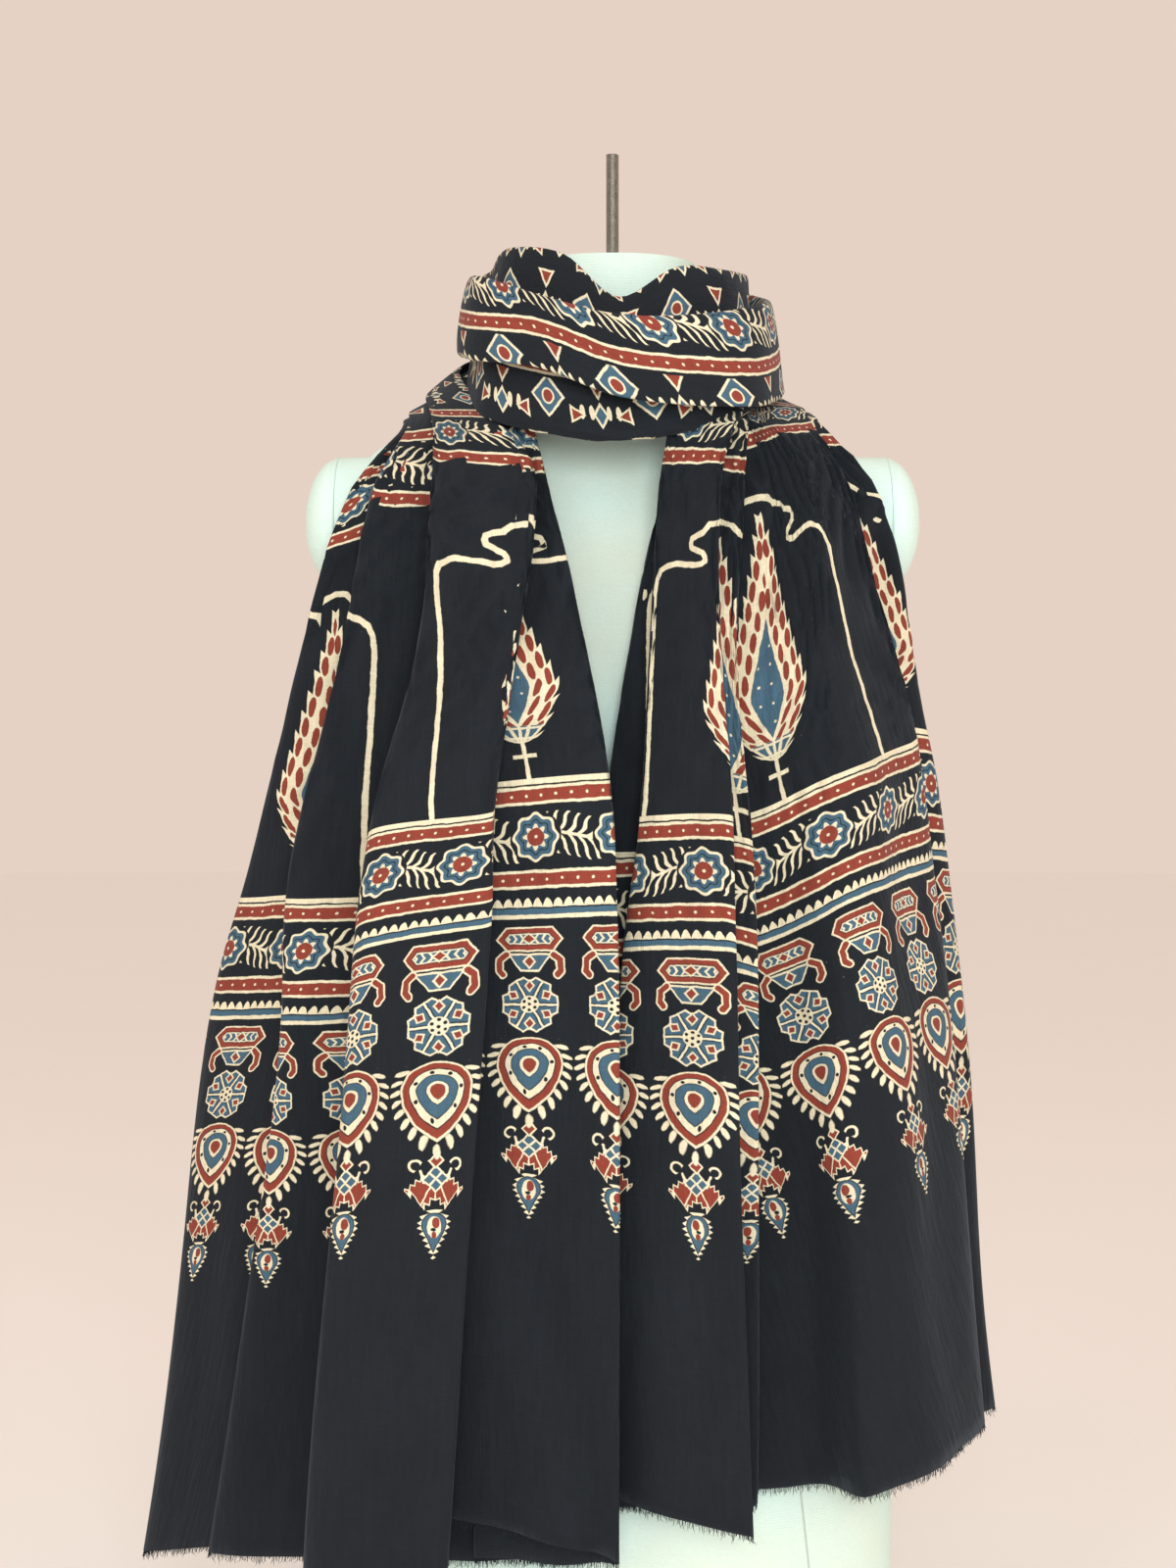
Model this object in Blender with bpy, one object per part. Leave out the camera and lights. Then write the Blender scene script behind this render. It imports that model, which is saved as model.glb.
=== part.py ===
"""A block-printed cotton dupatta wound round the neck of a plain dress form.

Metres, +Z up, the wearer's front towards -Y. The origin is the centre of the form's flat base.
The cloth is one woven length. It climbs from the left hem over the left shoulder, passes behind
the neck, comes round the right side and across the front as a rolled cowl, goes round the left
side and behind the neck again, and falls over the right shoulder to the right hem.
"""

import math

import bmesh
import bpy
import numpy as np
from mathutils import Vector

MM = 0.001

# Driving dimensions.
CLOTH_THICKNESS = 0.0009
FORM_HEIGHT = 0.9065
FORM_SEGMENTS = 40
FORM_SQUARENESS = 2.3
ARM_X = 0.177
ARM_Z = 0.7405
ARM_HALF_HEIGHT = 0.043
ARM_HALF_DEPTH = 0.050
ARM_CAP_DEPTH = 0.0225
ARM_STUB_START = 0.120
FIT_GAP = 0.0003
STUD_RADIUS = 0.0043
STUD_LENGTH = 0.075
NECK_AXIS_X = 0.003

SAMPLES_ACROSS = 3
SAMPLES_ALONG_END = 4
SAMPLES_ALONG_NECK = 2

# The form's cross-sections: height, half-width, depth in front of the axis, depth behind it.
FORM_SECTIONS = (
    (0.000, 0.174, 0.106, 0.112),
    (0.012, 0.179, 0.110, 0.117),
    (0.120, 0.182, 0.108, 0.122),
    (0.210, 0.168, 0.099, 0.112),
    (0.300, 0.142, 0.087, 0.096),
    (0.380, 0.126, 0.078, 0.086),
    (0.460, 0.133, 0.084, 0.088),
    (0.550, 0.146, 0.094, 0.094),
    (0.620, 0.154, 0.096, 0.098),
    (0.690, 0.163, 0.081, 0.098),
    (0.745, 0.169, 0.068, 0.090),
    (0.775, 0.166, 0.060, 0.080),
    (0.794, 0.145, 0.056, 0.073),
    (0.806, 0.111, 0.049, 0.067),
    (0.822, 0.080, 0.051, 0.062),
    (0.846, 0.060, 0.052, 0.059),
    (0.875, 0.056, 0.052, 0.055),
    (FORM_HEIGHT, 0.056, 0.053, 0.055),
)

# The folds of each hanging end, from the outer long edge to the inner one. A row is one fold line,
# given in mm (x, y, z) at the hem, below the border, above the border and at the upper border.
LEFT_END_FOLDS = (
    ("back edge", (-206, 84, 74), (-176, 62, 422), (-170, 30, 508), (-142, -60, 722)),
    ("outline", (-309, 12, 66), (-260, -4, 417), (-241, -14, 497), (-176, -66, 716)),
    ("fold 1 inside", (-254, -46, 86), (-180, -66, 424), (-170, -64, 503), (-118, -72, 730)),
    ("fold 1 edge", (-252, -68, 90), (-205, -98, 423), (-200, -92, 500), (-148, -84, 733)),
    ("fold 2 inside", (-148, -96, 92), (-120, -98, 430), (-110, -100, 508), (-78, -84, 750)),
    ("fold 2 edge", (-181, -162, 104), (-154, -152, 469), (-142, -150, 542), (-106, -104, 747)),
    ("fold 3 edge", (-100, -180, 99), (-73, -172, 488), (-71, -170, 555), (-47, -112, 759)),
    ("fold 3 inside", (-128, -140, 135), (-104, -148, 488), (-98, -148, 566), (-76, -98, 758)),
    ("inner outline", (2, -168, 114), (1, -160, 493), (-4, -160, 577), (-40, -96, 760)),
    ("return 1", (-82, -134, 109), (-76, -134, 487), (-72, -134, 567), (-72, -86, 760)),
    ("return 2", (-9, -146, 109), (-7, -128, 488), (-9, -127, 570), (-42, -80, 761)),
    ("inner edge", (-100, -119, 103), (-84, -113, 486), (-78, -115, 568), (-72, -75, 761)),
)
RIGHT_END_FOLDS = (
    ("back edge", (176, 100, 168), (166, 62, 520), (180, 10, 602), (140, -62, 750)),
    ("outline", (251, 15, 160), (216, -12, 520), (201, -22, 605), (157, -63, 752)),
    ("fold 1 inside", (182, -14, 150), (160, -50, 526), (148, -56, 610), (122, -70, 759)),
    ("fold 1 edge", (235, -38, 165), (200, -70, 519), (186, -72, 600), (136, -78, 765)),
    ("ridge", (154, -138, 145), (137, -138, 500), (131, -138, 577), (110, -94, 767)),
    ("hollow", (127, -110, 145), (102, -124, 477), (91, -130, 556), (88, -87, 763)),
    ("fold 2 inside", (2, -125, 135), (-9, -113, 450), (-8, -115, 530), (34, -80, 763)),
    ("fold 2 edge", (84, -149, 145), (82, -148, 455), (79, -148, 537), (74, -98, 759)),
    ("fold 3 inside", (64, -152, 135), (60, -150, 463), (60, -151, 543), (52, -100, 762)),
    ("fold 3 edge", (82, -170, 131), (68, -168, 472), (66, -168, 552), (63, -116, 763)),
    ("inner outline", (-14, -136, 149), (5, -138, 470), (15, -142, 551), (28, -98, 765)),
    ("inner edge", (24, -142, 144), (37, -142, 468), (43, -147, 550), (47, -95, 766)),
)

# How the twelve fold lines lie in a gathered cross-section. In a row, across runs from 0 at the
# lower or outer side to 1 at the upper or inner side, and out from 0 at the form to 1 outside.
LEFT_BUNDLE = (
    (0.30, 0.03), (0.00, 0.13), (0.54, 0.24), (0.06, 0.38), (0.56, 0.52), (0.26, 0.77),
    (0.70, 0.98), (0.62, 0.74), (1.00, 0.60), (0.68, 0.43), (1.00, 0.26), (0.66, 0.06),
)
COWL_ROLLS = (
    (0.42, 0.05), (0.04, 0.16), (0.50, 0.30), (0.02, 0.50), (0.48, 0.64), (0.22, 0.84),
    (0.80, 0.95), (0.62, 0.72), (0.99, 0.60), (0.62, 0.43), (0.98, 0.24), (0.58, 0.05),
)
OPEN_WAVE = (
    (0.00, 0.10), (0.08, 0.26), (0.17, 0.30), (0.26, 0.50), (0.35, 0.46), (0.44, 0.74),
    (0.54, 0.66), (0.63, 0.64), (0.73, 0.70), (0.83, 0.66), (0.97, 0.46), (0.84, 0.10),
)
RIGHT_BUNDLE = (
    (0.30, 0.03), (0.00, 0.13), (0.48, 0.23), (0.08, 0.33), (0.36, 0.39), (0.54, 0.43),
    (0.78, 0.49), (0.50, 0.61), (0.78, 0.71), (0.54, 0.98), (1.00, 0.68), (0.84, 0.24),
)

# The gathered sections on the upper chest: the outer corner, the run across and the run outwards.
LEFT_CHEST = ((-0.134, -0.043, 0.792), (0.083, -0.031, 0.001), (0.000, -0.016, 0.008))
RIGHT_CHEST = ((0.126, -0.053, 0.795), (-0.090, -0.026, -0.003), (0.000, -0.020, 0.010))

# The gathered sections round the neck. A row is the turn in degrees from the front by way of the
# wearer's right hand (image left), the radius and height of the inner lower corner, the run across
# and the run outwards (both as radius and height), and the mix of bundle and cowl rolls.
NECK_SECTIONS = (
    (90, 0.132, 0.807, -0.042, 0.025, 0.000, 0.018, 0.0),
    (112, 0.104, 0.816, -0.032, 0.030, 0.008, 0.022, 0.3),
    (135, 0.0664, 0.836, 0.000, 0.060, 0.022, 0.004, 0.7),
    (180, 0.0612, 0.843, 0.000, 0.065, 0.023, 0.000, 1.0),
    (225, 0.063, 0.856, 0.000, 0.062, 0.026, 0.000, 1.0),
    (472, 0.088, 0.872, 0.002, 0.050, 0.030, 0.000, 1.0),
    (495, 0.099, 0.846, 0.000, 0.068, 0.026, 0.000, 1.0),
    (540, 0.092, 0.832, 0.000, 0.078, 0.026, 0.000, 1.3),
    (585, 0.096, 0.822, -0.002, 0.066, 0.026, 0.004, 2.0),
    (607, 0.120, 0.808, -0.038, 0.026, 0.008, 0.022, 2.5),
    (630, 0.117, 0.811, -0.042, 0.022, 0.004, 0.014, 3.0),
)

# The rolled cowl, which shows. A row is the turn and then the radius and height of each fold line.
COWL_SECTIONS = (
    (270, (66, 875), (72, 862), (80, 872), (94, 845), (96, 864), (104.5, 835),
     (95, 888), (86, 868), (84, 902), (78, 872), (71, 900), (63, 870)),
    (315, (68, 850), (76, 826), (90, 850), (112, 802), (108, 842), (124, 804),
     (120, 866), (106, 848), (94, 892), (86, 858), (76, 888), (66, 855)),
    (337, (70, 840), (78, 812), (92, 842), (112, 786), (114, 836), (128, 799),
     (124, 855), (108, 840), (92, 890), (86, 855), (76, 886), (66, 850)),
    (360, (72, 838), (80, 806), (92, 842), (110, 778), (112, 838), (126, 803),
     (123, 853), (108, 838), (87, 871), (84, 845), (74, 868), (66, 840)),
    (382, (70, 848), (80, 815), (94, 848), (114, 783), (114, 842), (129, 822),
     (124, 866), (108, 848), (92, 898), (86, 858), (76, 890), (66, 852)),
    (405, (70, 856), (79, 829), (95, 857), (117, 799), (112, 848), (130, 832),
     (121, 884), (106, 862), (94, 906), (87, 866), (78, 900), (70, 860)),
    (450, (66, 862), (71, 850), (79, 864), (96, 845), (89, 866), (100, 858),
     (95, 896), (85, 870), (82, 906), (78, 872), (71, 902), (65, 868)),
)


def clear_scene():
    for old in list(bpy.data.objects):
        bpy.data.objects.remove(old)


def plain_material(name, colour, roughness, metallic=0.0):
    material = bpy.data.materials.new(name)
    material.use_nodes = True
    shader = material.node_tree.nodes["Principled BSDF"]
    shader.inputs["Base Color"].default_value = (*colour, 1.0)
    shader.inputs["Roughness"].default_value = roughness
    shader.inputs["Metallic"].default_value = metallic
    return material


def add_object(name, mesh, material):
    obj = bpy.data.objects.new(name, mesh)
    obj.data.materials.append(material)
    bpy.context.scene.collection.objects.link(obj)
    return obj


def smooth_spline(points, steps_per_gap):
    """A centripetal Catmull-Rom curve through the points, with as many steps in each gap as told."""
    points = np.asarray(points, float)
    ends = [2 * points[0] - points[1], *points, 2 * points[-1] - points[-2]]
    curve = [points[0]]
    for gap, steps in enumerate(steps_per_gap):
        p0, p1, p2, p3 = ends[gap : gap + 4]
        t1 = np.linalg.norm(p1 - p0) ** 0.5
        t2 = t1 + np.linalg.norm(p2 - p1) ** 0.5
        t3 = t2 + np.linalg.norm(p3 - p2) ** 0.5
        for step in range(1, steps + 1):
            t = t1 + (t2 - t1) * step / steps
            a1 = (t1 - t) / t1 * p0 + t / t1 * p1
            a2 = (t2 - t) / (t2 - t1) * p1 + (t - t1) / (t2 - t1) * p2
            a3 = (t3 - t) / (t3 - t2) * p2 + (t - t2) / (t3 - t2) * p3
            b1 = (t2 - t) / t2 * a1 + t / t2 * a2
            b2 = (t3 - t) / (t3 - t1) * a2 + (t - t1) / (t3 - t1) * a3
            curve.append((t2 - t) / (t2 - t1) * b1 + (t - t1) / (t2 - t1) * b2)
    return np.array(curve)


def end_sections(folds, last_first):
    """The hanging end's four sections, each a row of points, from the hem up or from the top down."""
    sections = [[np.array(row[level]) * MM for row in folds] for level in range(1, 5)]
    return sections[::-1] if last_first else sections


def gathered_section(corner, across, out, layout):
    corner, across, out = (np.array(vector) for vector in (corner, across, out))
    return [corner + a * across + b * out for a, b in layout]


def mixed_layout(mix):
    """One of the four layouts at 0, 1, 2 and 3, or a mix of two of them in between."""
    layouts = [np.array(layout) for layout in (LEFT_BUNDLE, COWL_ROLLS, OPEN_WAVE, RIGHT_BUNDLE)]
    first = min(int(mix), 2)
    return layouts[first] + (layouts[first + 1] - layouts[first]) * (mix - first)


def neck_section(turn, radius, height, across_r, across_z, out_r, out_z, mix):
    angle = math.radians(turn)
    outward = np.array((-math.sin(angle), -math.cos(angle), 0.0))
    up = np.array((0.0, 0.0, 1.0))
    axis = np.array((NECK_AXIS_X, 0.0, 0.0))
    corner = axis + radius * outward + height * up
    across = across_r * outward + across_z * up
    out = out_r * outward + out_z * up
    return gathered_section(corner, across, out, mixed_layout(mix))


def cowl_section(turn, *folds):
    """A section through the cowl, given as radius and height in mm for each fold line."""
    angle = math.radians(turn)
    outward = np.array((-math.sin(angle), -math.cos(angle), 0.0))
    axis = np.array((NECK_AXIS_X, 0.0, 0.0))
    return [axis + outward * r * MM + np.array((0.0, 0.0, z * MM)) for r, z in folds]


def cloth_sections():
    """Every section of the cloth from the left hem to the right one, with the steps after each."""
    left = end_sections(LEFT_END_FOLDS, last_first=False)
    right = end_sections(RIGHT_END_FOLDS, last_first=True)
    neck = {row[0]: neck_section(*row) for row in NECK_SECTIONS}
    neck.update({row[0]: cowl_section(*row) for row in COWL_SECTIONS})
    round_neck = [neck[turn] for turn in sorted(neck)]
    middle = [gathered_section(*LEFT_CHEST, LEFT_BUNDLE), *round_neck]
    middle.append(gathered_section(*RIGHT_CHEST, RIGHT_BUNDLE))
    sections = np.array([*left, *middle, *right])
    end_steps = [SAMPLES_ALONG_END, SAMPLES_ALONG_NECK, SAMPLES_ALONG_END]
    neck_steps = [SAMPLES_ALONG_NECK] * (len(middle) + 1)
    return sections, [*end_steps, *neck_steps, *end_steps[::-1]]


def cloth_grid():
    """The cloth's middle surface as a grid of points, along its length and then across it."""
    sections, steps_along = cloth_sections()
    across = [SAMPLES_ACROSS] * (sections.shape[1] - 1)
    lines = [smooth_spline(sections[:, fold], steps_along) for fold in range(sections.shape[1])]
    return np.array([smooth_spline(row, across) for row in np.array(lines).transpose(1, 0, 2)])


def make_cloth(material):
    grid = cloth_grid()
    rows, columns = grid.shape[:2]
    mesh = bpy.data.meshes.new("ajrakh_cloth")
    faces = []
    for i in range(rows - 1):
        for j in range(columns - 1):
            first = i * columns + j
            faces.append((first, first + 1, first + columns + 1, first + columns))
    mesh.from_pydata(grid.reshape(-1, 3).tolist(), [], faces)
    mesh.shade_smooth()
    cloth = add_object("ajrakh_cloth", mesh, material)
    weave = cloth.modifiers.new("thickness", "SOLIDIFY")
    weave.thickness = CLOTH_THICKNESS
    weave.offset = 0.0
    return cloth


def form_ring(bm, height, half_width, front, back):
    ring = []
    for step in range(FORM_SEGMENTS):
        angle = 2 * math.pi * step / FORM_SEGMENTS
        cos, sin = math.cos(angle), math.sin(angle)
        x = half_width * math.copysign(abs(cos) ** (2 / FORM_SQUARENESS), cos)
        depth = back if sin > 0 else front
        y = depth * math.copysign(abs(sin) ** (2 / FORM_SQUARENESS), sin)
        ring.append(bm.verts.new((x, y, height)))
    return ring


def make_form(material):
    """The torso and neck, lofted through its sections, with a stub that carries each arm cap."""
    bm = bmesh.new()
    rings = [form_ring(bm, *section) for section in FORM_SECTIONS]
    for low, high in zip(rings, rings[1:]):
        for step in range(FORM_SEGMENTS):
            after = (step + 1) % FORM_SEGMENTS
            bm.faces.new((low[step], low[after], high[after], high[step]))
    bm.faces.new(rings[0][::-1])
    bm.faces.new(rings[-1])
    bmesh.ops.recalc_face_normals(bm, faces=bm.faces)
    mesh = bpy.data.meshes.new("dress_form")
    bm.to_mesh(mesh)
    bm.free()
    mesh.shade_smooth()
    mesh.set_sharp_from_angle(angle=math.radians(50))
    form = add_object("dress_form", mesh, material)
    for side in (-1, 1):
        stub = make_arm_stub(side, material)
        union = form.modifiers.new(stub.name, "BOOLEAN")
        union.operation = "UNION"
        union.object = stub
    return form


def arm_ring(bm, x, scale):
    ring = []
    for step in range(FORM_SEGMENTS):
        angle = 2 * math.pi * step / FORM_SEGMENTS
        y = scale * ARM_HALF_DEPTH * math.cos(angle)
        z = ARM_Z + scale * ARM_HALF_HEIGHT * math.sin(angle)
        ring.append(bm.verts.new((x, y, z)))
    return ring


def join_rings(bm, rings):
    for near, far in zip(rings, rings[1:]):
        for step in range(FORM_SEGMENTS):
            after = (step + 1) % FORM_SEGMENTS
            bm.faces.new((near[step], near[after], far[after], far[step]))


def make_arm_stub(side, material):
    """The short oval stub of the torso that ends in the flat arm opening."""
    bm = bmesh.new()
    rings = [arm_ring(bm, side * x, 1.0) for x in (ARM_STUB_START, ARM_X)]
    join_rings(bm, rings)
    bm.faces.new(rings[0])
    bm.faces.new(rings[-1])
    bmesh.ops.recalc_face_normals(bm, faces=bm.faces)
    mesh = bpy.data.meshes.new("arm_stub")
    bm.to_mesh(mesh)
    bm.free()
    stub = add_object("arm_stub_left" if side < 0 else "arm_stub_right", mesh, material)
    stub.hide_render = True
    stub.display_type = "WIRE"
    return stub


def make_arm_cap(side, material):
    """The stuffed dome that closes an arm opening."""
    bm = bmesh.new()
    start = side * (ARM_X + FIT_GAP)
    rings = []
    for degrees in (0, 18, 36, 54, 70, 82):
        angle = math.radians(degrees)
        rings.append(arm_ring(bm, start + side * ARM_CAP_DEPTH * math.sin(angle), math.cos(angle)))
    join_rings(bm, rings)
    bm.faces.new(rings[0])
    tip = bm.verts.new((start + side * ARM_CAP_DEPTH, 0.0, ARM_Z))
    for step in range(FORM_SEGMENTS):
        bm.faces.new((rings[-1][step], rings[-1][(step + 1) % FORM_SEGMENTS], tip))
    bmesh.ops.recalc_face_normals(bm, faces=bm.faces)
    mesh = bpy.data.meshes.new("arm_cap")
    bm.to_mesh(mesh)
    bm.free()
    mesh.shade_smooth()
    mesh.set_sharp_from_angle(angle=math.radians(50))
    return add_object("arm_cap_left" if side < 0 else "arm_cap_right", mesh, material)


def make_neck_stud(material):
    bpy.ops.mesh.primitive_cylinder_add(vertices=24, radius=STUD_RADIUS, depth=STUD_LENGTH)
    stud = bpy.context.object
    stud.name = "neck_stud"
    stud.location = Vector((0.0, 0.0, FORM_HEIGHT + FIT_GAP + STUD_LENGTH / 2))
    stud.data.materials.append(material)
    stud.data.shade_smooth()
    stud.data.set_sharp_from_angle(angle=math.radians(40))
    return stud


def main():
    clear_scene()
    cotton = plain_material("black block-printed cotton", (0.017, 0.019, 0.024), 0.9)
    canvas = plain_material("pale canvas", (0.72, 0.84, 0.79), 0.85)
    steel = plain_material("threaded steel", (0.42, 0.42, 0.43), 0.35, metallic=1.0)
    make_cloth(cotton)
    make_form(canvas)
    for side in (-1, 1):
        make_arm_cap(side, canvas)
    make_neck_stud(steel)


main()
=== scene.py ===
"""The looks of a block-printed cotton dupatta wound round the neck of a plain dress form.

Metres, +Z up, the wearer's front towards -Y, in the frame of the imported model. The print is worked
out by nodes in millimetres of flat cloth. The UV map "print" gives the place across the cloth,
from its outer long edge, and the place along it, from the foot of the left end's printed drops or,
from behind the neck onwards, of the right end's.
"""

import math

import bmesh
import bpy
import numpy as np
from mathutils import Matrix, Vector


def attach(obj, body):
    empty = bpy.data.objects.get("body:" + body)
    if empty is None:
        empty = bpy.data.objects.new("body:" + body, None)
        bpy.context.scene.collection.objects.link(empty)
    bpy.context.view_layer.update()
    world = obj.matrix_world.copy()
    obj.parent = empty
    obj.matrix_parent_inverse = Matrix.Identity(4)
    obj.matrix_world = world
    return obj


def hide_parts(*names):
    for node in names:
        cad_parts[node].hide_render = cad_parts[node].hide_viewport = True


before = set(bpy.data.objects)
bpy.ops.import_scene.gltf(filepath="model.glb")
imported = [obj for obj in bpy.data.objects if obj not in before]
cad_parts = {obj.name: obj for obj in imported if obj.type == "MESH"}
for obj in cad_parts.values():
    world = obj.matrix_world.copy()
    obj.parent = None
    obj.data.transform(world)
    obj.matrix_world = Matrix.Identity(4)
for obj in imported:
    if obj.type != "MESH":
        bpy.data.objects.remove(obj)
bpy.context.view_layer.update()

MM = 0.001

# ---------------------------------------------------------------- the cloth's shape

CLOTH_THICKNESS = 0.0008
NECK_AXIS_X = 0.003
SAMPLES_ACROSS = 14
SAMPLES_MARGIN_AND_DROPS = 34
SAMPLES_LOWER_BORDER = 10
SAMPLES_ARCHES = 24
SAMPLES_NECK = 7

# The twelve fold lines of each hanging end, from the cloth's outer long edge to its inner one. A row
# is one line, in mm (x, y, z) at the hem, below the border, above it and at the upper border.
# Left: outer edge, outline, folds 1 and 2 (inside, edge), fold 3 (edge, inside), inner outline, two
# lines of the turned-back layers behind it and the inner edge.
LEFT_END_FOLDS = (
    ((-206, 84, 74), (-176, 62, 422), (-170, 30, 508), (-142, -60, 722)),
    ((-309, 12, 66), (-260, -4, 417), (-241, -14, 497), (-176, -66, 716)),
    ((-254, -46, 86), (-180, -66, 424), (-170, -64, 503), (-118, -72, 730)),
    ((-252, -68, 90), (-205, -98, 423), (-200, -92, 500), (-148, -84, 733)),
    ((-148, -96, 92), (-120, -98, 430), (-110, -100, 508), (-78, -84, 750)),
    ((-181, -162, 104), (-154, -152, 469), (-142, -150, 542), (-106, -104, 747)),
    ((-100, -180, 99), (-73, -172, 488), (-71, -170, 555), (-47, -112, 759)),
    ((-128, -140, 135), (-104, -148, 488), (-98, -148, 566), (-76, -98, 758)),
    ((2, -168, 114), (1, -160, 493), (-4, -160, 577), (-40, -96, 760)),
    ((-82, -134, 109), (-76, -134, 487), (-72, -134, 567), (-72, -86, 760)),
    ((-9, -146, 109), (-7, -128, 488), (-9, -127, 570), (-42, -80, 761)),
    ((-100, -119, 103), (-84, -113, 486), (-78, -115, 568), (-72, -75, 761)),
)
# Right: outer edge, outline, fold 1 (inside, edge), ridge, hollow, folds 2 and 3 (inside, edge),
# inner outline and inner edge.
RIGHT_END_FOLDS = (
    ((176, 100, 168), (166, 62, 520), (180, 10, 602), (140, -62, 750)),
    ((251, 15, 160), (216, -12, 520), (201, -22, 605), (157, -63, 752)),
    ((182, -14, 150), (160, -50, 526), (148, -56, 610), (122, -70, 759)),
    ((235, -38, 165), (200, -70, 519), (186, -72, 600), (136, -78, 765)),
    ((154, -138, 145), (137, -138, 500), (131, -138, 577), (110, -94, 767)),
    ((127, -110, 145), (102, -124, 477), (91, -130, 556), (88, -87, 763)),
    ((2, -125, 135), (-9, -113, 450), (-8, -115, 530), (34, -80, 763)),
    ((84, -149, 145), (82, -148, 455), (79, -148, 537), (74, -98, 759)),
    ((64, -152, 135), (60, -150, 463), (60, -151, 543), (52, -100, 762)),
    ((82, -170, 131), (68, -168, 472), (66, -168, 552), (63, -116, 763)),
    ((-14, -136, 149), (5, -138, 470), (15, -142, 551), (28, -98, 765)),
    ((24, -142, 144), (37, -142, 468), (43, -147, 550), (47, -95, 766)),
)

# How the twelve fold lines lie in a gathered cross-section. In a row, across runs from 0 at the
# lower or outer side to 1 at the upper or inner side, and out from 0 at the form to 1 outside.
LEFT_BUNDLE = (
    (0.30, 0.03), (0.00, 0.13), (0.54, 0.24), (0.06, 0.38), (0.56, 0.52), (0.26, 0.77),
    (0.70, 0.98), (0.62, 0.74), (1.00, 0.60), (0.68, 0.43), (1.00, 0.26), (0.66, 0.06),
)
COWL_ROLLS = (
    (0.42, 0.05), (0.04, 0.16), (0.50, 0.30), (0.02, 0.50), (0.48, 0.64), (0.22, 0.84),
    (0.80, 0.95), (0.62, 0.72), (0.99, 0.60), (0.62, 0.43), (0.98, 0.24), (0.58, 0.05),
)
OPEN_WAVE = (
    (0.00, 0.10), (0.08, 0.26), (0.17, 0.30), (0.26, 0.50), (0.35, 0.46), (0.44, 0.74),
    (0.54, 0.66), (0.63, 0.64), (0.73, 0.70), (0.83, 0.66), (0.97, 0.46), (0.84, 0.10),
)
RIGHT_BUNDLE = (
    (0.30, 0.03), (0.00, 0.13), (0.48, 0.23), (0.08, 0.33), (0.36, 0.39), (0.54, 0.43),
    (0.78, 0.49), (0.50, 0.61), (0.78, 0.71), (0.54, 0.98), (1.00, 0.68), (0.84, 0.24),
)

# The gathered sections on the upper chest: the outer corner, the run across and the run outwards.
LEFT_CHEST = ((-0.134, -0.043, 0.792), (0.083, -0.031, 0.001), (0.000, -0.016, 0.008))
RIGHT_CHEST = ((0.126, -0.053, 0.795), (-0.090, -0.026, -0.003), (0.000, -0.020, 0.010))

# The gathered sections round the neck. A row is the turn in degrees from the front by way of the
# wearer's right hand (image left), the radius and height of the inner lower corner, the run across
# and the run outwards (both as radius and height), and the mix of bundle and cowl rolls.
NECK_SECTIONS = (
    (90, 0.132, 0.807, -0.042, 0.025, 0.000, 0.018, 0.0),
    (112, 0.104, 0.816, -0.032, 0.030, 0.008, 0.022, 0.3),
    (135, 0.0664, 0.836, 0.000, 0.060, 0.022, 0.004, 0.7),
    (180, 0.0612, 0.843, 0.000, 0.065, 0.023, 0.000, 1.0),
    (225, 0.063, 0.856, 0.000, 0.062, 0.026, 0.000, 1.0),
    (472, 0.082, 0.872, 0.002, 0.037, 0.021, 0.000, 1.0),
    (495, 0.095, 0.846, 0.000, 0.064, 0.024, 0.000, 1.0),
    (540, 0.092, 0.832, 0.000, 0.078, 0.026, 0.000, 1.3),
    (585, 0.096, 0.822, -0.002, 0.066, 0.026, 0.004, 2.0),
    (607, 0.120, 0.808, -0.038, 0.026, 0.008, 0.022, 2.5),
    (630, 0.117, 0.811, -0.042, 0.022, 0.004, 0.014, 3.0),
)

# The rolled cowl, which shows. A row is the turn and then the radius and height of each fold line.
COWL_SECTIONS = (
    (270, (66, 875), (72, 862), (80, 872), (94, 845), (96, 864), (104.5, 835),
     (95, 888), (86, 868), (84, 902), (78, 872), (71, 900), (63, 870)),
    (315, (68, 850), (76, 826), (90, 850), (112, 802), (108, 842), (124, 804),
     (120, 866), (106, 848), (94, 892), (86, 858), (76, 888), (66, 855)),
    (337, (70, 840), (78, 812), (92, 842), (112, 786), (114, 836), (128, 799),
     (124, 855), (108, 840), (92, 890), (86, 855), (76, 886), (66, 850)),
    (360, (72, 838), (80, 806), (92, 842), (110, 778), (112, 838), (126, 803),
     (123, 853), (108, 838), (87, 871), (84, 845), (74, 868), (66, 840)),
    (382, (70, 848), (80, 815), (94, 848), (114, 783), (114, 842), (129, 822),
     (124, 866), (108, 848), (92, 898), (86, 858), (76, 890), (66, 852)),
    (405, (70, 856), (79, 829), (95, 857), (117, 799), (112, 848), (130, 832),
     (121, 884), (106, 862), (94, 906), (87, 866), (78, 900), (70, 860)),
    (450, (66, 862), (71, 850), (79, 864), (96, 845), (89, 866), (100, 858),
     (95, 896), (85, 870), (82, 906), (78, 872), (71, 902), (65, 868)),
)

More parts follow.
